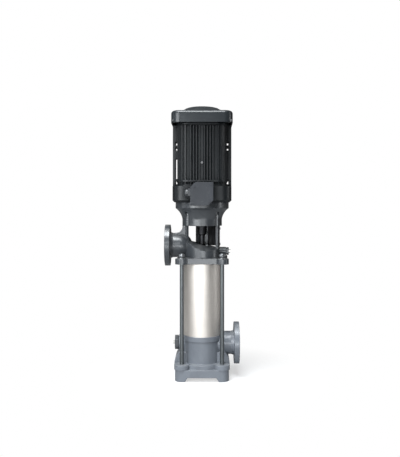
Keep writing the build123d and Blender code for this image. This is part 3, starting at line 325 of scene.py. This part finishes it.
def build_cast_grain():
    """Sand-cast skin: fine grain, soft lumps and a few pits."""
    inputs = {"Vector": 0, "Grain": 600, "Lumps": 60}
    tree, source, target = new_group("Cast Grain", inputs, ["Height", "Mottle"])
    vector = source.outputs["Vector"]
    fine = tree.noise(vector, source.outputs["Grain"], detail=4.0, roughness=0.6)
    lumps = tree.noise(vector, source.outputs["Lumps"], detail=3.0, roughness=0.5)
    cells = tree.node("ShaderNodeTexVoronoi", {"Vector": vector, "Scale": source.outputs["Lumps"]})
    pit_depth = tree.ramp(cells.outputs["Distance"], 0.0, 0.12, start=-0.6, end=0.0)
    height = tree.math("ADD", tree.math("MULTIPLY", fine, 0.35), tree.math("MULTIPLY", lumps, 0.9))
    tree.link(tree.math("ADD", height, pit_depth), target.inputs["Height"])
    wide = tree.noise(vector, 9.0, detail=4.0, roughness=0.6, distortion=0.6)
    tree.link(tree.ramp(wide, 0.32, 0.70), target.inputs["Mottle"])


def build_paint_film():
    """Sprayed paint: orange peel, thin runs and worn specks."""
    inputs = {"Vector": 0, "Peel": 300, "Specks": 90}
    tree, source, target = new_group("Paint Film", inputs, ["Height", "Specks"])
    vector = source.outputs["Vector"]
    peel = tree.noise(vector, source.outputs["Peel"], detail=2.0, roughness=0.5)
    drift = tree.noise(tree.scaled(vector, (1.0, 1.0, 0.25)), 40.0, detail=2.0, roughness=0.5)
    height = tree.math("ADD", tree.math("MULTIPLY", peel, 0.6), tree.math("MULTIPLY", drift, 0.6))
    tree.link(height, target.inputs["Height"])
    speck = tree.noise(vector, source.outputs["Specks"], detail=5.0, roughness=0.7)
    field = tree.noise(vector, 14.0, detail=2.0, roughness=0.5)
    mask = tree.math("MULTIPLY", tree.ramp(speck, 0.60, 0.68), tree.ramp(field, 0.46, 0.62))
    tree.link(mask, target.inputs["Specks"])


def build_settled_dust():
    """Dust that lies on faces that look up."""
    tree, source, target = new_group("Settled Dust", {"Vector": 0, "Amount": 0.5}, ["Mask"])
    normal = tree.node("ShaderNodeNewGeometry").outputs["Normal"]
    up = tree.node("ShaderNodeSeparateXYZ", {0: normal}).outputs["Z"]
    facing = tree.ramp(up, 0.45, 0.98)
    cloud = tree.noise(source.outputs["Vector"], 35.0, detail=4.0, roughness=0.6)
    patch = tree.ramp(cloud, 0.35, 0.65)
    mask = tree.math("MULTIPLY", tree.math("MULTIPLY", facing, patch), source.outputs["Amount"])
    tree.link(mask, target.inputs["Mask"])


def build_brush_marks():
    """Fine marks that run round a turned or rolled part, one above the other along Z."""
    tree, source, target = new_group("Brush Marks", {"Vector": 0, "Pitch": 900}, ["Lines"])
    flat = tree.scaled(source.outputs["Vector"], (0.012, 0.012, 1.0))
    lines = tree.noise(flat, source.outputs["Pitch"], detail=3.0, roughness=0.7)
    tree.link(lines, target.inputs["Lines"])


def build_groups():
    build_cast_grain()
    build_paint_film()
    build_settled_dust()
    build_brush_marks()


# --- Materials ---
def empty_material(name):
    """A material with only its output node."""
    material = bpy.data.materials.new(name)
    material.use_nodes = True
    material.node_tree.nodes.clear()
    tree = Tree(material.node_tree)
    return material, tree, tree.node("ShaderNodeOutputMaterial")


def new_material(name):
    """A material with its Principled shader and the place that its patterns read."""
    material, tree, output = empty_material(name)
    shader = tree.node("ShaderNodeBsdfPrincipled")
    tree.link(shader.outputs[0], output.inputs["Surface"])
    place = tree.node("ShaderNodeTexCoord").outputs["Object"]
    return material, tree, shader, place


def bump(tree, shader, height, strength, distance, edge=0.0):
    """Relief from a height, over edges that are rounded by the given radius."""
    item = tree.node("ShaderNodeBump", {"Height": height, "Strength": strength, "Distance": distance})
    if edge > 0:
        rounded = tree.node("ShaderNodeBevel", {"Radius": edge}, samples=EDGE_SAMPLES)
        tree.link(rounded.outputs[0], item.inputs["Normal"])
    tree.link(item.outputs[0], shader.inputs["Normal"])


def cast_paint(name, colour, dust=0.35, gloss=0.36, edge=0.003):
    """Semi-gloss paint over sand-cast iron."""
    material, tree, shader, place = new_material(name)
    grain = 1.0 / finishes().grain_size
    cast = tree.group("Cast Grain", vector=place, grain=grain, lumps=grain / 9)
    film = tree.group("Paint Film", vector=place, peel=grain * 0.5, specks=110.0)
    settled = tree.group("Settled Dust", vector=place, amount=dust)
    body = tree.mix(cast["Mottle"], rgba(colour, 0.84), rgba(colour, 1.12))
    chipped = tree.mix(tree.math("MULTIPLY", film["Specks"], 0.35), body, rgba(colour, 0.45))
    dusty = tree.mix(settled["Mask"], chipped, HEAVY_DUST)
    tree.link(dusty, shader.inputs["Base Color"])
    rough = tree.ramp(cast["Mottle"], 0.0, 1.0, gloss - 0.05, gloss + 0.08)
    rough = tree.math("ADD", rough, tree.math("MULTIPLY", settled["Mask"], 0.4), clamp=True)
    tree.link(rough, shader.inputs["Roughness"])
    shader.inputs["Specular IOR Level"].default_value = 0.55
    shader.inputs["Coat Weight"].default_value = 0.25
    shader.inputs["Coat Roughness"].default_value = 0.22
    bump(tree, shader, cast["Height"], strength=0.35, distance=0.0006, edge=edge)
    return material


def sprayed_paint(name, colour, gloss=0.32, coat=0.3, specks=0.3, dust=0.25, edge=0.0012,
                  shine=0.5, painted_shade_reach=0.0):
    """Smooth sprayed paint on sheet or die-cast parts; in gaps narrower than the given reach its
    reflection is dimmed as painted shade.
    """
    material, tree, shader, place = new_material(name)
    film = tree.group("Paint Film", vector=place, peel=420.0, specks=130.0)
    settled = tree.group("Settled Dust", vector=place, amount=dust)
    tone = tree.ramp(tree.noise(place, 7.0, detail=3.0, roughness=0.5), 0.3, 0.7)
    body = tree.mix(tone, rgba(colour, 0.85), rgba(colour, 1.18))
    worn = tree.mix(tree.math("MULTIPLY", film["Specks"], specks), body, WORN_PRIMER)
    dusty = tree.mix(settled["Mask"], worn, LIGHT_DUST)
    tree.link(dusty, shader.inputs["Base Color"])
    rough = tree.ramp(tone, 0.0, 1.0, gloss - 0.04, gloss + 0.06)
    rough = tree.math("ADD", rough, tree.math("MULTIPLY", settled["Mask"], 0.4), clamp=True)
    tree.link(rough, shader.inputs["Roughness"])
    shader.inputs["Specular IOR Level"].default_value = shine
    # Painted shade: ambient occlusion dims the reflection in recesses such as the channels between the
    # motor's fins.
    if painted_shade_reach > 0:
        air = tree.node("ShaderNodeAmbientOcclusion", {"Distance": painted_shade_reach}, samples=EDGE_SAMPLES)
        clear = tree.ramp(air.outputs["AO"], 0.35, 0.9, start=0.1, end=1.0)
        tree.link(tree.math("MULTIPLY", clear, shine), shader.inputs["Specular IOR Level"])
    shader.inputs["Coat Weight"].default_value = coat
    shader.inputs["Coat Roughness"].default_value = 0.15
    bump(tree, shader, film["Height"], strength=0.25, distance=0.0004, edge=edge)
    return material


def brushed_steel(name, colour, low=0.22, high=0.42, marks=0.25):
    """Steel with fine turning or rolling marks round the Z axis."""
    material, tree, shader, place = new_material(name)
    brush = tree.group("Brush Marks", vector=place, pitch=1.0 / finishes().brush_pitch)
    cloud = tree.noise(place, 16.0, detail=4.0, roughness=0.6, distortion=0.4)
    smudge = tree.ramp(cloud, 0.35, 0.72)
    tone = tree.mix(brush["Lines"], rgba(colour, 0.86), rgba(colour, 1.08))
    tone = tree.mix(tree.math("MULTIPLY", smudge, 0.22), tone, rgba(colour, 0.74))
    tree.link(tone, shader.inputs["Base Color"])
    rough = tree.ramp(brush["Lines"], 0.25, 0.75, low, high)
    rough = tree.math("ADD", rough, tree.math("MULTIPLY", smudge, 0.06), clamp=True)
    tree.link(rough, shader.inputs["Roughness"])
    shader.inputs["Metallic"].default_value = 1.0
    bump(tree, shader, brush["Lines"], strength=marks, distance=0.00008)
    return material


def plain_metal(name, colour, roughness=0.35, wear=0.25):
    """Plated or cast metal with soft stains."""
    material, tree, shader, place = new_material(name)
    cloud = tree.noise(place, 55.0, detail=5.0, roughness=0.65, distortion=0.5)
    stain = tree.ramp(cloud, 0.38, 0.70)
    grain = tree.noise(place, 1400.0, detail=3.0, roughness=0.6)
    tone = tree.mix(tree.math("MULTIPLY", stain, wear), rgba(colour), rgba(colour, 0.45))
    tree.link(tone, shader.inputs["Base Color"])
    rough = tree.ramp(stain, 0.0, 1.0, roughness - 0.05, roughness + 0.18)
    tree.link(rough, shader.inputs["Roughness"])
    shader.inputs["Metallic"].default_value = 1.0
    bump(tree, shader, grain, strength=0.2, distance=0.0001)
    return material


def moulded(name, colour, roughness=0.5, texture=900.0, strength=0.25):
    """Moulded plastic, rubber or carbon with a fine skin."""
    material, tree, shader, place = new_material(name)
    skin = tree.noise(place, texture, detail=3.0, roughness=0.6)
    tone = tree.ramp(tree.noise(place, 40.0, detail=3.0, roughness=0.5), 0.3, 0.7)
    tree.link(tree.mix(tone, rgba(colour, 0.85), rgba(colour, 1.2)), shader.inputs["Base Color"])
    rough = tree.ramp(skin, 0.2, 0.8, roughness - 0.06, roughness + 0.08)
    tree.link(rough, shader.inputs["Roughness"])
    bump(tree, shader, skin, strength=strength, distance=0.0001)
    return material


def wound_copper(name):
    """Enamelled wire bundles tied round the stator ends."""
    material, tree, shader, place = new_material(name)
    sockets = {"Vector": place, "Scale": WIRE_SCALE, "Distortion": 3.0, "Detail": 3.0}
    wires = tree.node("ShaderNodeTexWave", sockets).outputs["Fac"]
    tree.link(tree.mix(wires, ENAMEL_DARK, ENAMEL_BRIGHT), shader.inputs["Base Color"])
    tree.link(tree.ramp(wires, 0.0, 1.0, start=0.28, end=0.5), shader.inputs["Roughness"])
    shader.inputs["Metallic"].default_value = 0.6
    bump(tree, shader, wires, strength=0.5, distance=0.0006)
    return material


def stacked_sheets(name, colour):
    """Laminations stacked along Z."""
    material, tree, shader, place = new_material(name)
    flat = tree.scaled(place, (0.0, 0.0, 1.0))
    sockets = {"Vector": flat, "Scale": SHEET_SCALE, "Distortion": 0.4}
    sheets = tree.node("ShaderNodeTexWave", sockets, bands_direction="Z").outputs["Fac"]
    tree.link(tree.mix(sheets, rgba(colour, 0.5), rgba(colour, 1.1)), shader.inputs["Base Color"])
    tree.link(tree.ramp(sheets, 0.0, 1.0, start=0.35, end=0.55), shader.inputs["Roughness"])
    shader.inputs["Metallic"].default_value = 1.0
    bump(tree, shader, sheets, strength=0.5, distance=0.0003)
    return material


def dress(node, material):
    """Give a CAD piece its finish."""
    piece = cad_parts[node]
    for slot in piece.material_slots:
        slot.material = material
    if not piece.material_slots:
        piece.data.materials.append(material)


def dress_all(names, material):
    for name in names:
        dress(name, material)


def stage_nodes(prefix):
    """Names of the CAD pieces that start with the prefix, one for each stage."""
    return [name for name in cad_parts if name.startswith(prefix)]


# --- Mesh helpers ---
def new_piece(name, mesh, body, material, replaced=()):
    """Turn a bmesh into an object that rides on a body."""
    data = bpy.data.meshes.new(name)
    mesh.to_mesh(data)
    mesh.free()
    piece = bpy.data.objects.new(name, data)
    bpy.context.scene.collection.objects.link(piece)
    data.materials.append(material)
    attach(piece, body)
    for node in replaced:
        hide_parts(node)


def soften(mesh, angle=CREASE_ANGLE):
    """Shade smooth across shallow edges only."""
    for face in mesh.faces:
        face.smooth = True
    for edge in mesh.edges:
        if len(edge.link_faces) == 2 and edge.calc_face_angle() > angle:
            edge.smooth = False


def centre(node):
    """Middle of the node's box."""
    low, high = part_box(node)
    return tuple((a + b) / 2 for a, b in zip(low, high))


def add_loop(mesh, points):
    """New vertices on the points, in their order."""
    return [mesh.verts.new(point) for point in points]


def bridge(mesh, lower, upper, skip=()):
    """Quads between two closed loops, without the segments in skip."""
    count = len(lower)
    for i in range(count):
        if i not in skip:
            j = (i + 1) % count
            mesh.faces.new((lower[i], lower[j], upper[j], upper[i]))


def bridge_all(mesh, loops):
    """A wall through the loops, one after the other."""
    for lower, upper in zip(loops, loops[1:]):
        bridge(mesh, lower, upper)


def close_ends(mesh, loops):
    """Faces over the first and the last loop."""
    mesh.faces.new(loops[-1])
    mesh.faces.new(list(reversed(loops[0])))


def rounded_square(half, corner_r, z, per_corner):
    """Points of a square with round corners; corner_r equal to half gives a circle."""
    points = []
    reach = half - corner_r
    for i in range(4 * per_corner):
        quarter = i // per_corner
        middle = pi / 4 + quarter * pi / 2
        turn = quarter * pi / 2 + (i % per_corner) * (pi / 2) / (per_corner - 1)
        x = reach * (1 if cos(middle) > 0 else -1) + corner_r * cos(turn)
        y = reach * (1 if sin(middle) > 0 else -1) + corner_r * sin(turn)
        points.append((x, y, z))
    return points


def hex_radius(turn, across_flats):
    """Distance from the centre to the side of a hexagon that has a flat at angle 0."""
    off = (turn + pi / 6) % (pi / 3) - pi / 6
    return across_flats / 2 / cos(off)


def hex_head(mesh, place, across_flats, height, bore=0.0):
    """A hexagon along Z whose upper corners are chamfered, on the point place."""
    rise = finishes().chamfer_rise
    rim = across_flats / 2 * HEX_TOP_SHARE
    lower, edge, top, hole = [], [], [], []
    for i in range(HEX_SEGMENTS):
        turn = i * 2 * pi / HEX_SEGMENTS
        reach = hex_radius(turn, across_flats)
        drop = (reach - rim) * rise
        lower.append((reach * cos(turn), reach * sin(turn), 0))
        edge.append((reach * cos(turn), reach * sin(turn), height - drop))
        top.append((rim * cos(turn), rim * sin(turn), height))
        hole.append((bore * cos(turn), bore * sin(turn), height))
    rings = [lower, edge, top]
    if bore > 0:
        rings += [hole, [(x, y, 0) for x, y, _ in hole]]
    loops = [add_loop(mesh, [Vector(place) + Vector(point) for point in ring]) for ring in rings]
    bridge_all(mesh, loops)
    if bore > 0:
        bridge(mesh, loops[-1], loops[0])
    else:
        close_ends(mesh, loops)


def add_thread(mesh, middle, radius, bottom, top):
    """Ridges round a rod end on the point middle, a little proud of the rod."""
    x, y = middle
    turns = [i * 2 * pi / THREAD_SEGMENTS for i in range(THREAD_SEGMENTS)]
    level = bottom
    loops = []
    outward = True
    while level < top:
        reach = radius * (THREAD_CREST if outward else THREAD_ROOT)
        loops.append(add_loop(mesh, [(x + reach * cos(t), y + reach * sin(t), level) for t in turns]))
        level += finishes().thread_pitch / 2
        outward = not outward
    bridge_all(mesh, loops)
    close_ends(mesh, loops)


def corner_places(node, inset):
    """The four places of a square pattern, each inset from the node's box."""
    low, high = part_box(node)
    x = (high.x - low.x) / 2 - inset
    y = (high.y - low.y) / 2 - inset
    return [(sx * x, sy * y) for sx in (-1, 1) for sy in (-1, 1)]


# --- Operators: finishes of the CAD pieces ---
class PUMP_OT_finish_castings(bpy.types.Operator):
    """Paint the suction base, the discharge head and the plugs"""
    bl_idname = "pump.finish_castings"
    bl_label = "Castings"

    def execute(self, context):
        s = finishes()
        dress("suction_base", cast_paint("base_paint_skin", s.casting_colour))
        # The head paint is dark of its own and darkened further as painted shade for the stool under the
        # motor; the plugs take the same colour.
        dress("discharge_head", cast_paint("head_paint_shade_skin", s.head_colour_with_shade, gloss=0.30))
        plugs = cast_paint("plug_paint_skin", s.head_colour_with_shade, dust=0.2, gloss=0.4)
        dress_all(["drain_plug", "vent_plug"], plugs)
        # The guard's near-black paint is painted shade for the shadow inside the stool window.
        guard = sprayed_paint("guard_painted_shade_skin", GUARD_SHADE_BLACK, gloss=0.5, coat=0.0)
        dress("coupling_guard", guard)
        return {"FINISHED"}


class PUMP_OT_finish_sleeve(bpy.types.Operator):
    """Brush the stainless sleeve and turn the tie rods"""
    bl_idname = "pump.finish_sleeve"
    bl_label = "Sleeve and rods"

    def execute(self, context):
        s = finishes()
        dress("outer_sleeve", brushed_steel("sleeve_skin", s.sleeve_colour, low=0.42, high=0.54))
        dress("tie_rods", brushed_steel("rod_skin", ROD_STEEL, low=0.34, high=0.5))
        return {"FINISHED"}


class PUMP_OT_finish_motor(bpy.types.Operator):
    """Paint the motor, its cover and the terminal box"""
    bl_idname = "pump.finish_motor"
    bl_label = "Motor"

    def execute(self, context):
        s = finishes()
        # The housing paint gets painted shade: its reflection is dimmed in the channels between the fins.
        housing = sprayed_paint("motor_paint_skin", s.motor_colour, gloss=0.36, coat=0.0,
                                specks=0.1, shine=0.32, painted_shade_reach=0.03)
        dress_all(["motor_housing", "drive_end_shield", "rear_shield"], housing)
        box = sprayed_paint("box_paint_skin", s.box_colour, gloss=0.38, coat=0.05, shine=0.34)
        dress_all(["terminal_box", "terminal_box_lid", "lid_screws"], box)
        dress("cable_gland", moulded("gland_skin", GLAND_NYLON, roughness=0.42))
        dress("motor_fan", moulded("fan_skin", FAN_PLASTIC, roughness=0.55))
        return {"FINISHED"}


class PUMP_OT_finish_fasteners(bpy.types.Operator):
    """Plate the nuts, washers and screws"""
    bl_idname = "pump.finish_fasteners"
    bl_label = "Fasteners"

    def execute(self, context):
        dark = plain_metal("fastener_skin", FASTENER_STEEL, roughness=0.4)
        names = ["tie_rod_washers", "seal_cover_screws", "motor_bolts", "guard_screws",
                 "shield_bolts", "fan_cover_screws", "coupling_screws", "impeller_nut"]
        dress_all(names, dark)
        bright = plain_metal("bleed_skin", BLEED_NICKEL, roughness=0.28, wear=0.2)
        dress_all(["drain_bleed_screw", "vent_screw"], bright)
        dress("terminal_studs", plain_metal("stud_skin", STUD_BRASS, roughness=0.3))
        return {"FINISHED"}


class PUMP_OT_finish_inside(bpy.types.Operator):
    """Finish the stages, shafts, coupling, seals, windings and bearings"""
    bl_idname = "pump.finish_inside"
    bl_label = "Inner pieces"

    def execute(self, context):
        stages = brushed_steel("stage_skin", STAGE_STEEL, low=0.28, high=0.45)
        names = stage_nodes("stage_bowl") + stage_nodes("impeller_")
        names = [name for name in names if name != "impeller_nut"]
        dress_all(names + ["inlet_guide", "stack_clamp_ring", "shaft_spacers", "seal_cover"], stages)
        ground = brushed_steel("shaft_skin", SHAFT_STEEL, low=0.16, high=0.28, marks=0.15)
        dress_all(["motor_shaft", "seal_head"], ground)
        carbon = moulded("carbon_skin", CARBON, roughness=0.35)
        dress_all(["shaft_bush", "seal_seat"], carbon)
        # Painted shade: the coupling halves and the pump shaft, which is steel, get near-black iron for
        # the shadow inside the stool window.
        dark = plain_metal("coupling_shade_skin", COUPLING_SHADE_BLACK, roughness=0.45)
        dress_all(["coupling_half_front", "coupling_half_rear", "pump_shaft"], dark)
        rubber = moulded("rubber_skin", RUBBER, roughness=0.6, texture=700.0, strength=0.35)
        dress_all(["sleeve_o_rings", "lid_gasket", "plug_washers"], rubber)
        dress("stator_windings", wound_copper("winding_skin"))
        dress("stator_core", stacked_sheets("stator_sheet_skin", SHEET_STEEL))
        dress("rotor_core", plain_metal("rotor_skin", ROTOR_STEEL, roughness=0.4))
        dress("terminal_board", moulded("board_skin", BOARD_RESIN, roughness=0.45))
        polished = plain_metal("bearing_skin", BEARING_STEEL, roughness=0.12, wear=0.05)
        dress_all(["bearing_outer_rings", "bearing_inner_rings", "bearing_ball_sets"], polished)
        return {"FINISHED"}


# --- Operators: pieces that the finish needs ---
def cover_profile():
    """(half width, corner radius, height) of the fan cover's loops, from the skirt to the crown."""
    low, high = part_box("fan_cover")
    half = high.x
    shoulder = high.z - finishes().cover_shoulder
    loops = [(half, COVER_CORNER, low.z), (half, COVER_CORNER, shoulder - SHOULDER_RADIUS)]
    for i in range(1, SHOULDER_STEPS + 1):
        turn = i * pi / 2 / SHOULDER_STEPS
        inset = SHOULDER_RADIUS * (1 - cos(turn))
        level = shoulder - SHOULDER_RADIUS * (1 - sin(turn))
        loops.append((half - inset, COVER_CORNER - inset, level))
    top_r = finishes().cover_crown_radius
    crown = (
        (CROWN_BASE, shoulder + CROWN_FOOT_RISE),
        (CROWN_BASE - CROWN_FOOT_RADIUS, shoulder + CROWN_FOOT_RADIUS),
        (top_r, high.z - CROWN_RIM_DROP),
        (top_r - CROWN_RIM_WIDTH, high.z),
        (top_r * CROWN_DISC_SHARE, high.z),
    )
    return loops + [(radius, radius * ROUND_SHARE, level) for radius, level in crown]


class PUMP_OT_shape_cover(bpy.types.Operator):
    """Draw the fan cover with its shoulder, raised crown and air slots"""
    bl_idname = "pump.shape_cover"
    bl_label = "Fan cover"

    def execute(self, context):
        s = finishes()
        mesh = bmesh.new()
        loops = [add_loop(mesh, rounded_square(*place, CORNER_SEGMENTS)) for place in cover_profile()]
        count = 4 * CORNER_SEGMENTS
        per_slot = count // s.grille_slots
        slots = {i for i in range(count) if i % per_slot < per_slot * LOUVRE_SHARE}
        for i in range(len(loops) - 1):
            bridge(mesh, loops[i], loops[i + 1], slots if i == len(loops) - 2 else ())
        mesh.faces.new(loops[-1])
        bmesh.ops.recalc_face_normals(mesh, faces=mesh.faces[:])
        bmesh.ops.solidify(mesh, geom=mesh.faces[:], thickness=COVER_WALL)
        soften(mesh)
        skin = sprayed_paint("cover_paint_skin", s.cover_colour, gloss=0.30, coat=0.18,
                             specks=0.15, dust=0.08, shine=0.34)
        new_piece("cover_shell", mesh, "casing", skin, ["fan_cover"])
        return {"FINISHED"}


class PUMP_OT_shape_nuts(bpy.types.Operator):
    """Chamfer the tie rod nuts and cut the thread on the rod ends"""
    bl_idname = "pump.shape_nuts"
    bl_label = "Tie rod nuts"

    def execute(self, context):
        low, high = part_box("tie_rod_nuts")
        rod_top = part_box("tie_rods")[1].z
        mesh = bmesh.new()
        thread = bmesh.new()
        for x, y in corner_places("tie_rods", ROD_RADIUS):
            hex_head(mesh, (x, y, low.z), NUT_FLATS, high.z - low.z, ROD_RADIUS * NUT_BORE_SHARE)
            add_thread(thread, (x, y), ROD_RADIUS, high.z - THREAD_OVERLAP, rod_top)
        soften(mesh, FACET_ANGLE)
        soften(thread, FACET_ANGLE)
        skin = plain_metal("nut_skin", NUT_STEEL, roughness=0.36)
        new_piece("chamfered_nuts", mesh, "casing", skin, ["tie_rod_nuts"])
        new_piece("rod_threads", thread, "casing", skin)
        return {"FINISHED"}


def draw_front_screw():
    """A small hexagon screw with its washer, on the motor's front strip."""
    low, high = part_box("motor_housing")
    screw = bmesh.new()
    bmesh.ops.create_cone(screw, cap_ends=True, segments=SCREW_WASHER_SEGMENTS, radius1=SCREW_WASHER_R,
                          radius2=SCREW_WASHER_R, depth=SCREW_WASHER_DEPTH)
    hex_head(screw, (0, 0, SCREW_WASHER_DEPTH / 2), SCREW_FLATS, SCREW_HEIGHT)
    level = low.z + SCREW_SHARE * (high.z - low.z)
    place = Matrix.Translation((0, low.y - SCREW_WASHER_DEPTH / 2, level))
    forward = Matrix.Rotation(pi / 2, 4, "X")
    bmesh.ops.transform(screw, matrix=place @ forward, verts=screw.verts)
    soften(screw, FACET_ANGLE)
    skin = plain_metal("screw_skin", SCREW_STEEL, roughness=0.35)
    new_piece("front_screw", screw, "casing", skin)


def draw_gland_nut():
    """The domed nut of the cable gland, with grip ribs round it."""
    low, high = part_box("gland_nut")
    middle = centre("gland_nut")
    nut = bmesh.new()
    loops = []
    for along, share in GLAND_PROFILE:
        reach = (high.z - low.z) / 2 * share
        x = high.x - along * (high.x - low.x)
        ring = []
        for i in range(2 * GLAND_RIBS):
            turn = i * pi / GLAND_RIBS
            deep = reach * (1.0 if i % 2 or share < GLAND_SMOOTH_SHARE else GLAND_GROOVE)
            ring.append((x, middle[1] + deep * cos(turn), middle[2] + deep * sin(turn)))
        loops.append(add_loop(nut, ring))
    bridge_all(nut, loops)
    close_ends(nut, loops)
    bmesh.ops.recalc_face_normals(nut, faces=nut.faces[:])
    soften(nut, RIB_ANGLE)
    skin = moulded("gland_nut_skin", GLAND_NYLON, roughness=0.36)
    new_piece("ribbed_gland_nut", nut, "casing", skin, ["gland_nut"])


class PUMP_OT_shape_motor_details(bpy.types.Operator):
    """Add the screw on the motor's front strip and the ribs of the gland nut"""
    bl_idname = "pump.shape_motor_details"
    bl_label = "Motor details"

    def execute(self, context):
        draw_front_screw()
        draw_gland_nut()
        return {"FINISHED"}


# --- Operator: studio ---
def studio_white(level):
    """Floor that takes the object's shadow near it and fades to a white backdrop."""
    material, tree, output = empty_material("studio_floor")
    place = tree.node("ShaderNodeTexCoord").outputs["Object"]
    length = tree.node("ShaderNodeVectorMath", {0: place}, operation="LENGTH").outputs["Value"]
    fade = tree.ramp(length, *SHADOW_REACH, start=SHADOW_GLOW, end=1.0)
    seen = tree.node("ShaderNodeLightPath").outputs["Is Camera Ray"]
    factor = tree.math("MULTIPLY", fade, seen)
    shade = tree.mix(seen, FLOOR_LIT, FLOOR_SEEN)
    matt = tree.node("ShaderNodeBsdfDiffuse", {"Color": shade})
    glow = tree.node("ShaderNodeEmission", {"Color": WHITE, "Strength": level})
    mixed = tree.node("ShaderNodeMixShader", {0: factor, 1: matt.outputs[0], 2: glow.outputs[0]})
    tree.link(mixed.outputs[0], output.inputs["Surface"])
    return material


def build_world(level):
    """White to the eye, softer as a light."""
    world = bpy.data.worlds.new("studio_world")
    bpy.context.scene.world = world
    world.use_nodes = True
    world.node_tree.nodes.clear()
    tree = Tree(world.node_tree)
    output = tree.node("ShaderNodeOutputWorld")
    path = tree.node("ShaderNodeLightPath").outputs
    white = tree.node("ShaderNodeBackground", {"Color": WHITE, "Strength": level})
    place = tree.node("ShaderNodeTexCoord").outputs["Generated"]
    side = tree.node("ShaderNodeSeparateXYZ", {0: place}).outputs["X"]
    tone = tree.ramp(side, *WORLD_LEVEL_SPAN, start=WORLD_LEFT_LEVEL, end=WORLD_RIGHT_LEVEL)
    hue = tree.mix(tree.ramp(side, *WORLD_WARM_SPAN), WORLD_COOL, WORLD_WARM)
    soft = tree.node("ShaderNodeBackground", {"Color": hue, "Strength": tone})
    sockets = {0: path["Is Camera Ray"], 1: soft.outputs[0], 2: white.outputs[0]}
    mixed = tree.node("ShaderNodeMixShader", sockets)
    tree.link(mixed.outputs[0], output.inputs["Surface"])


def soft_lamp(name, place, target, width, height, power):
    """A square-edged area lamp that faces the target."""
    data = bpy.data.lights.new(name, "AREA")
    data.shape = "RECTANGLE"
    data.size = width
    data.size_y = height
    data.energy = power
    data.color = LAMP_TINT
    lamp = bpy.data.objects.new(name, data)
    bpy.context.scene.collection.objects.link(lamp)
    lamp.location = place
    lamp.rotation_euler = (Vector(target) - Vector(place)).to_track_quat("-Z", "Y").to_euler()


def add_floor(size, level):
    mesh = bmesh.new()
    bmesh.ops.create_grid(mesh, x_segments=1, y_segments=1, size=size / 2)
    data = bpy.data.meshes.new("studio_floor")
    mesh.to_mesh(data)
    mesh.free()
    floor = bpy.data.objects.new("studio_floor", data)
    bpy.context.scene.collection.objects.link(floor)
    data.materials.append(studio_white(level))


def add_camera(s):
    """The camera, level and turned about the shaft axis; a shift frames the pump."""
    data = bpy.data.cameras.new("camera")
    camera = bpy.data.objects.new("camera", data)
    bpy.context.scene.collection.objects.link(camera)
    turn = s.camera_azimuth
    reach = s.camera_distance
    camera.location = (reach * sin(turn), -reach * cos(turn), s.camera_height)
    camera.rotation_euler = (pi / 2, 0, turn)
    data.sensor_fit = "VERTICAL"
    data.sensor_height = SENSOR
    data.lens = s.focal_length
    data.shift_x = -AXIS_SHIFT / FRAME_HEIGHT
    data.shift_y = -HORIZON_RISE / FRAME_HEIGHT
    bpy.context.scene.camera = camera


class PUMP_OT_stage(bpy.types.Operator):
    """Set up the floor, the lights and the camera"""
    bl_idname = "pump.stage"
    bl_label = "Studio"

    def execute(self, context):
        s = stage_settings()
        add_floor(s.floor_size, s.backdrop_level)
        build_world(s.backdrop_level)
        for lamp in LAMPS:
            soft_lamp(*lamp)
        add_camera(s)
        context.scene.view_settings.view_transform = "Standard"
        return {"FINISHED"}


class PUMP_PT_panel(bpy.types.Panel):
    """Steps that dress the pump"""
    bl_idname = "PUMP_PT_panel"
    bl_label = "Vertical pump"
    bl_space_type = "VIEW_3D"
    bl_region_type = "UI"
    bl_category = "Pump"

    def draw(self, context):
        for step in STEPS:
            self.layout.operator(step.bl_idname)
        for group in (context.scene.pump_finishes, context.scene.pump_stage):
            for key in group.__annotations__:
                self.layout.prop(group, key)


STEPS = (
    PUMP_OT_stage,
    PUMP_OT_shape_cover,
    PUMP_OT_shape_nuts,
    PUMP_OT_shape_motor_details,
    PUMP_OT_finish_castings,
    PUMP_OT_finish_sleeve,
    PUMP_OT_finish_motor,
    PUMP_OT_finish_fasteners,
    PUMP_OT_finish_inside,
)
CLASSES = (PumpFinishes, PumpStage) + STEPS + (PUMP_PT_panel,)


def register():
    for item in CLASSES:
        bpy.utils.register_class(item)
    bpy.types.Scene.pump_finishes = PointerProperty(type=PumpFinishes)
    bpy.types.Scene.pump_stage = PointerProperty(type=PumpStage)


def unregister():
    del bpy.types.Scene.pump_stage
    del bpy.types.Scene.pump_finishes
    for item in reversed(CLASSES):
        bpy.utils.unregister_class(item)


def main():
    register()
    build_groups()
    for step in STEPS:
        group, name = step.bl_idname.split(".")
        getattr(getattr(bpy.ops, group), name)()


if __name__ == "__main__":
    main()
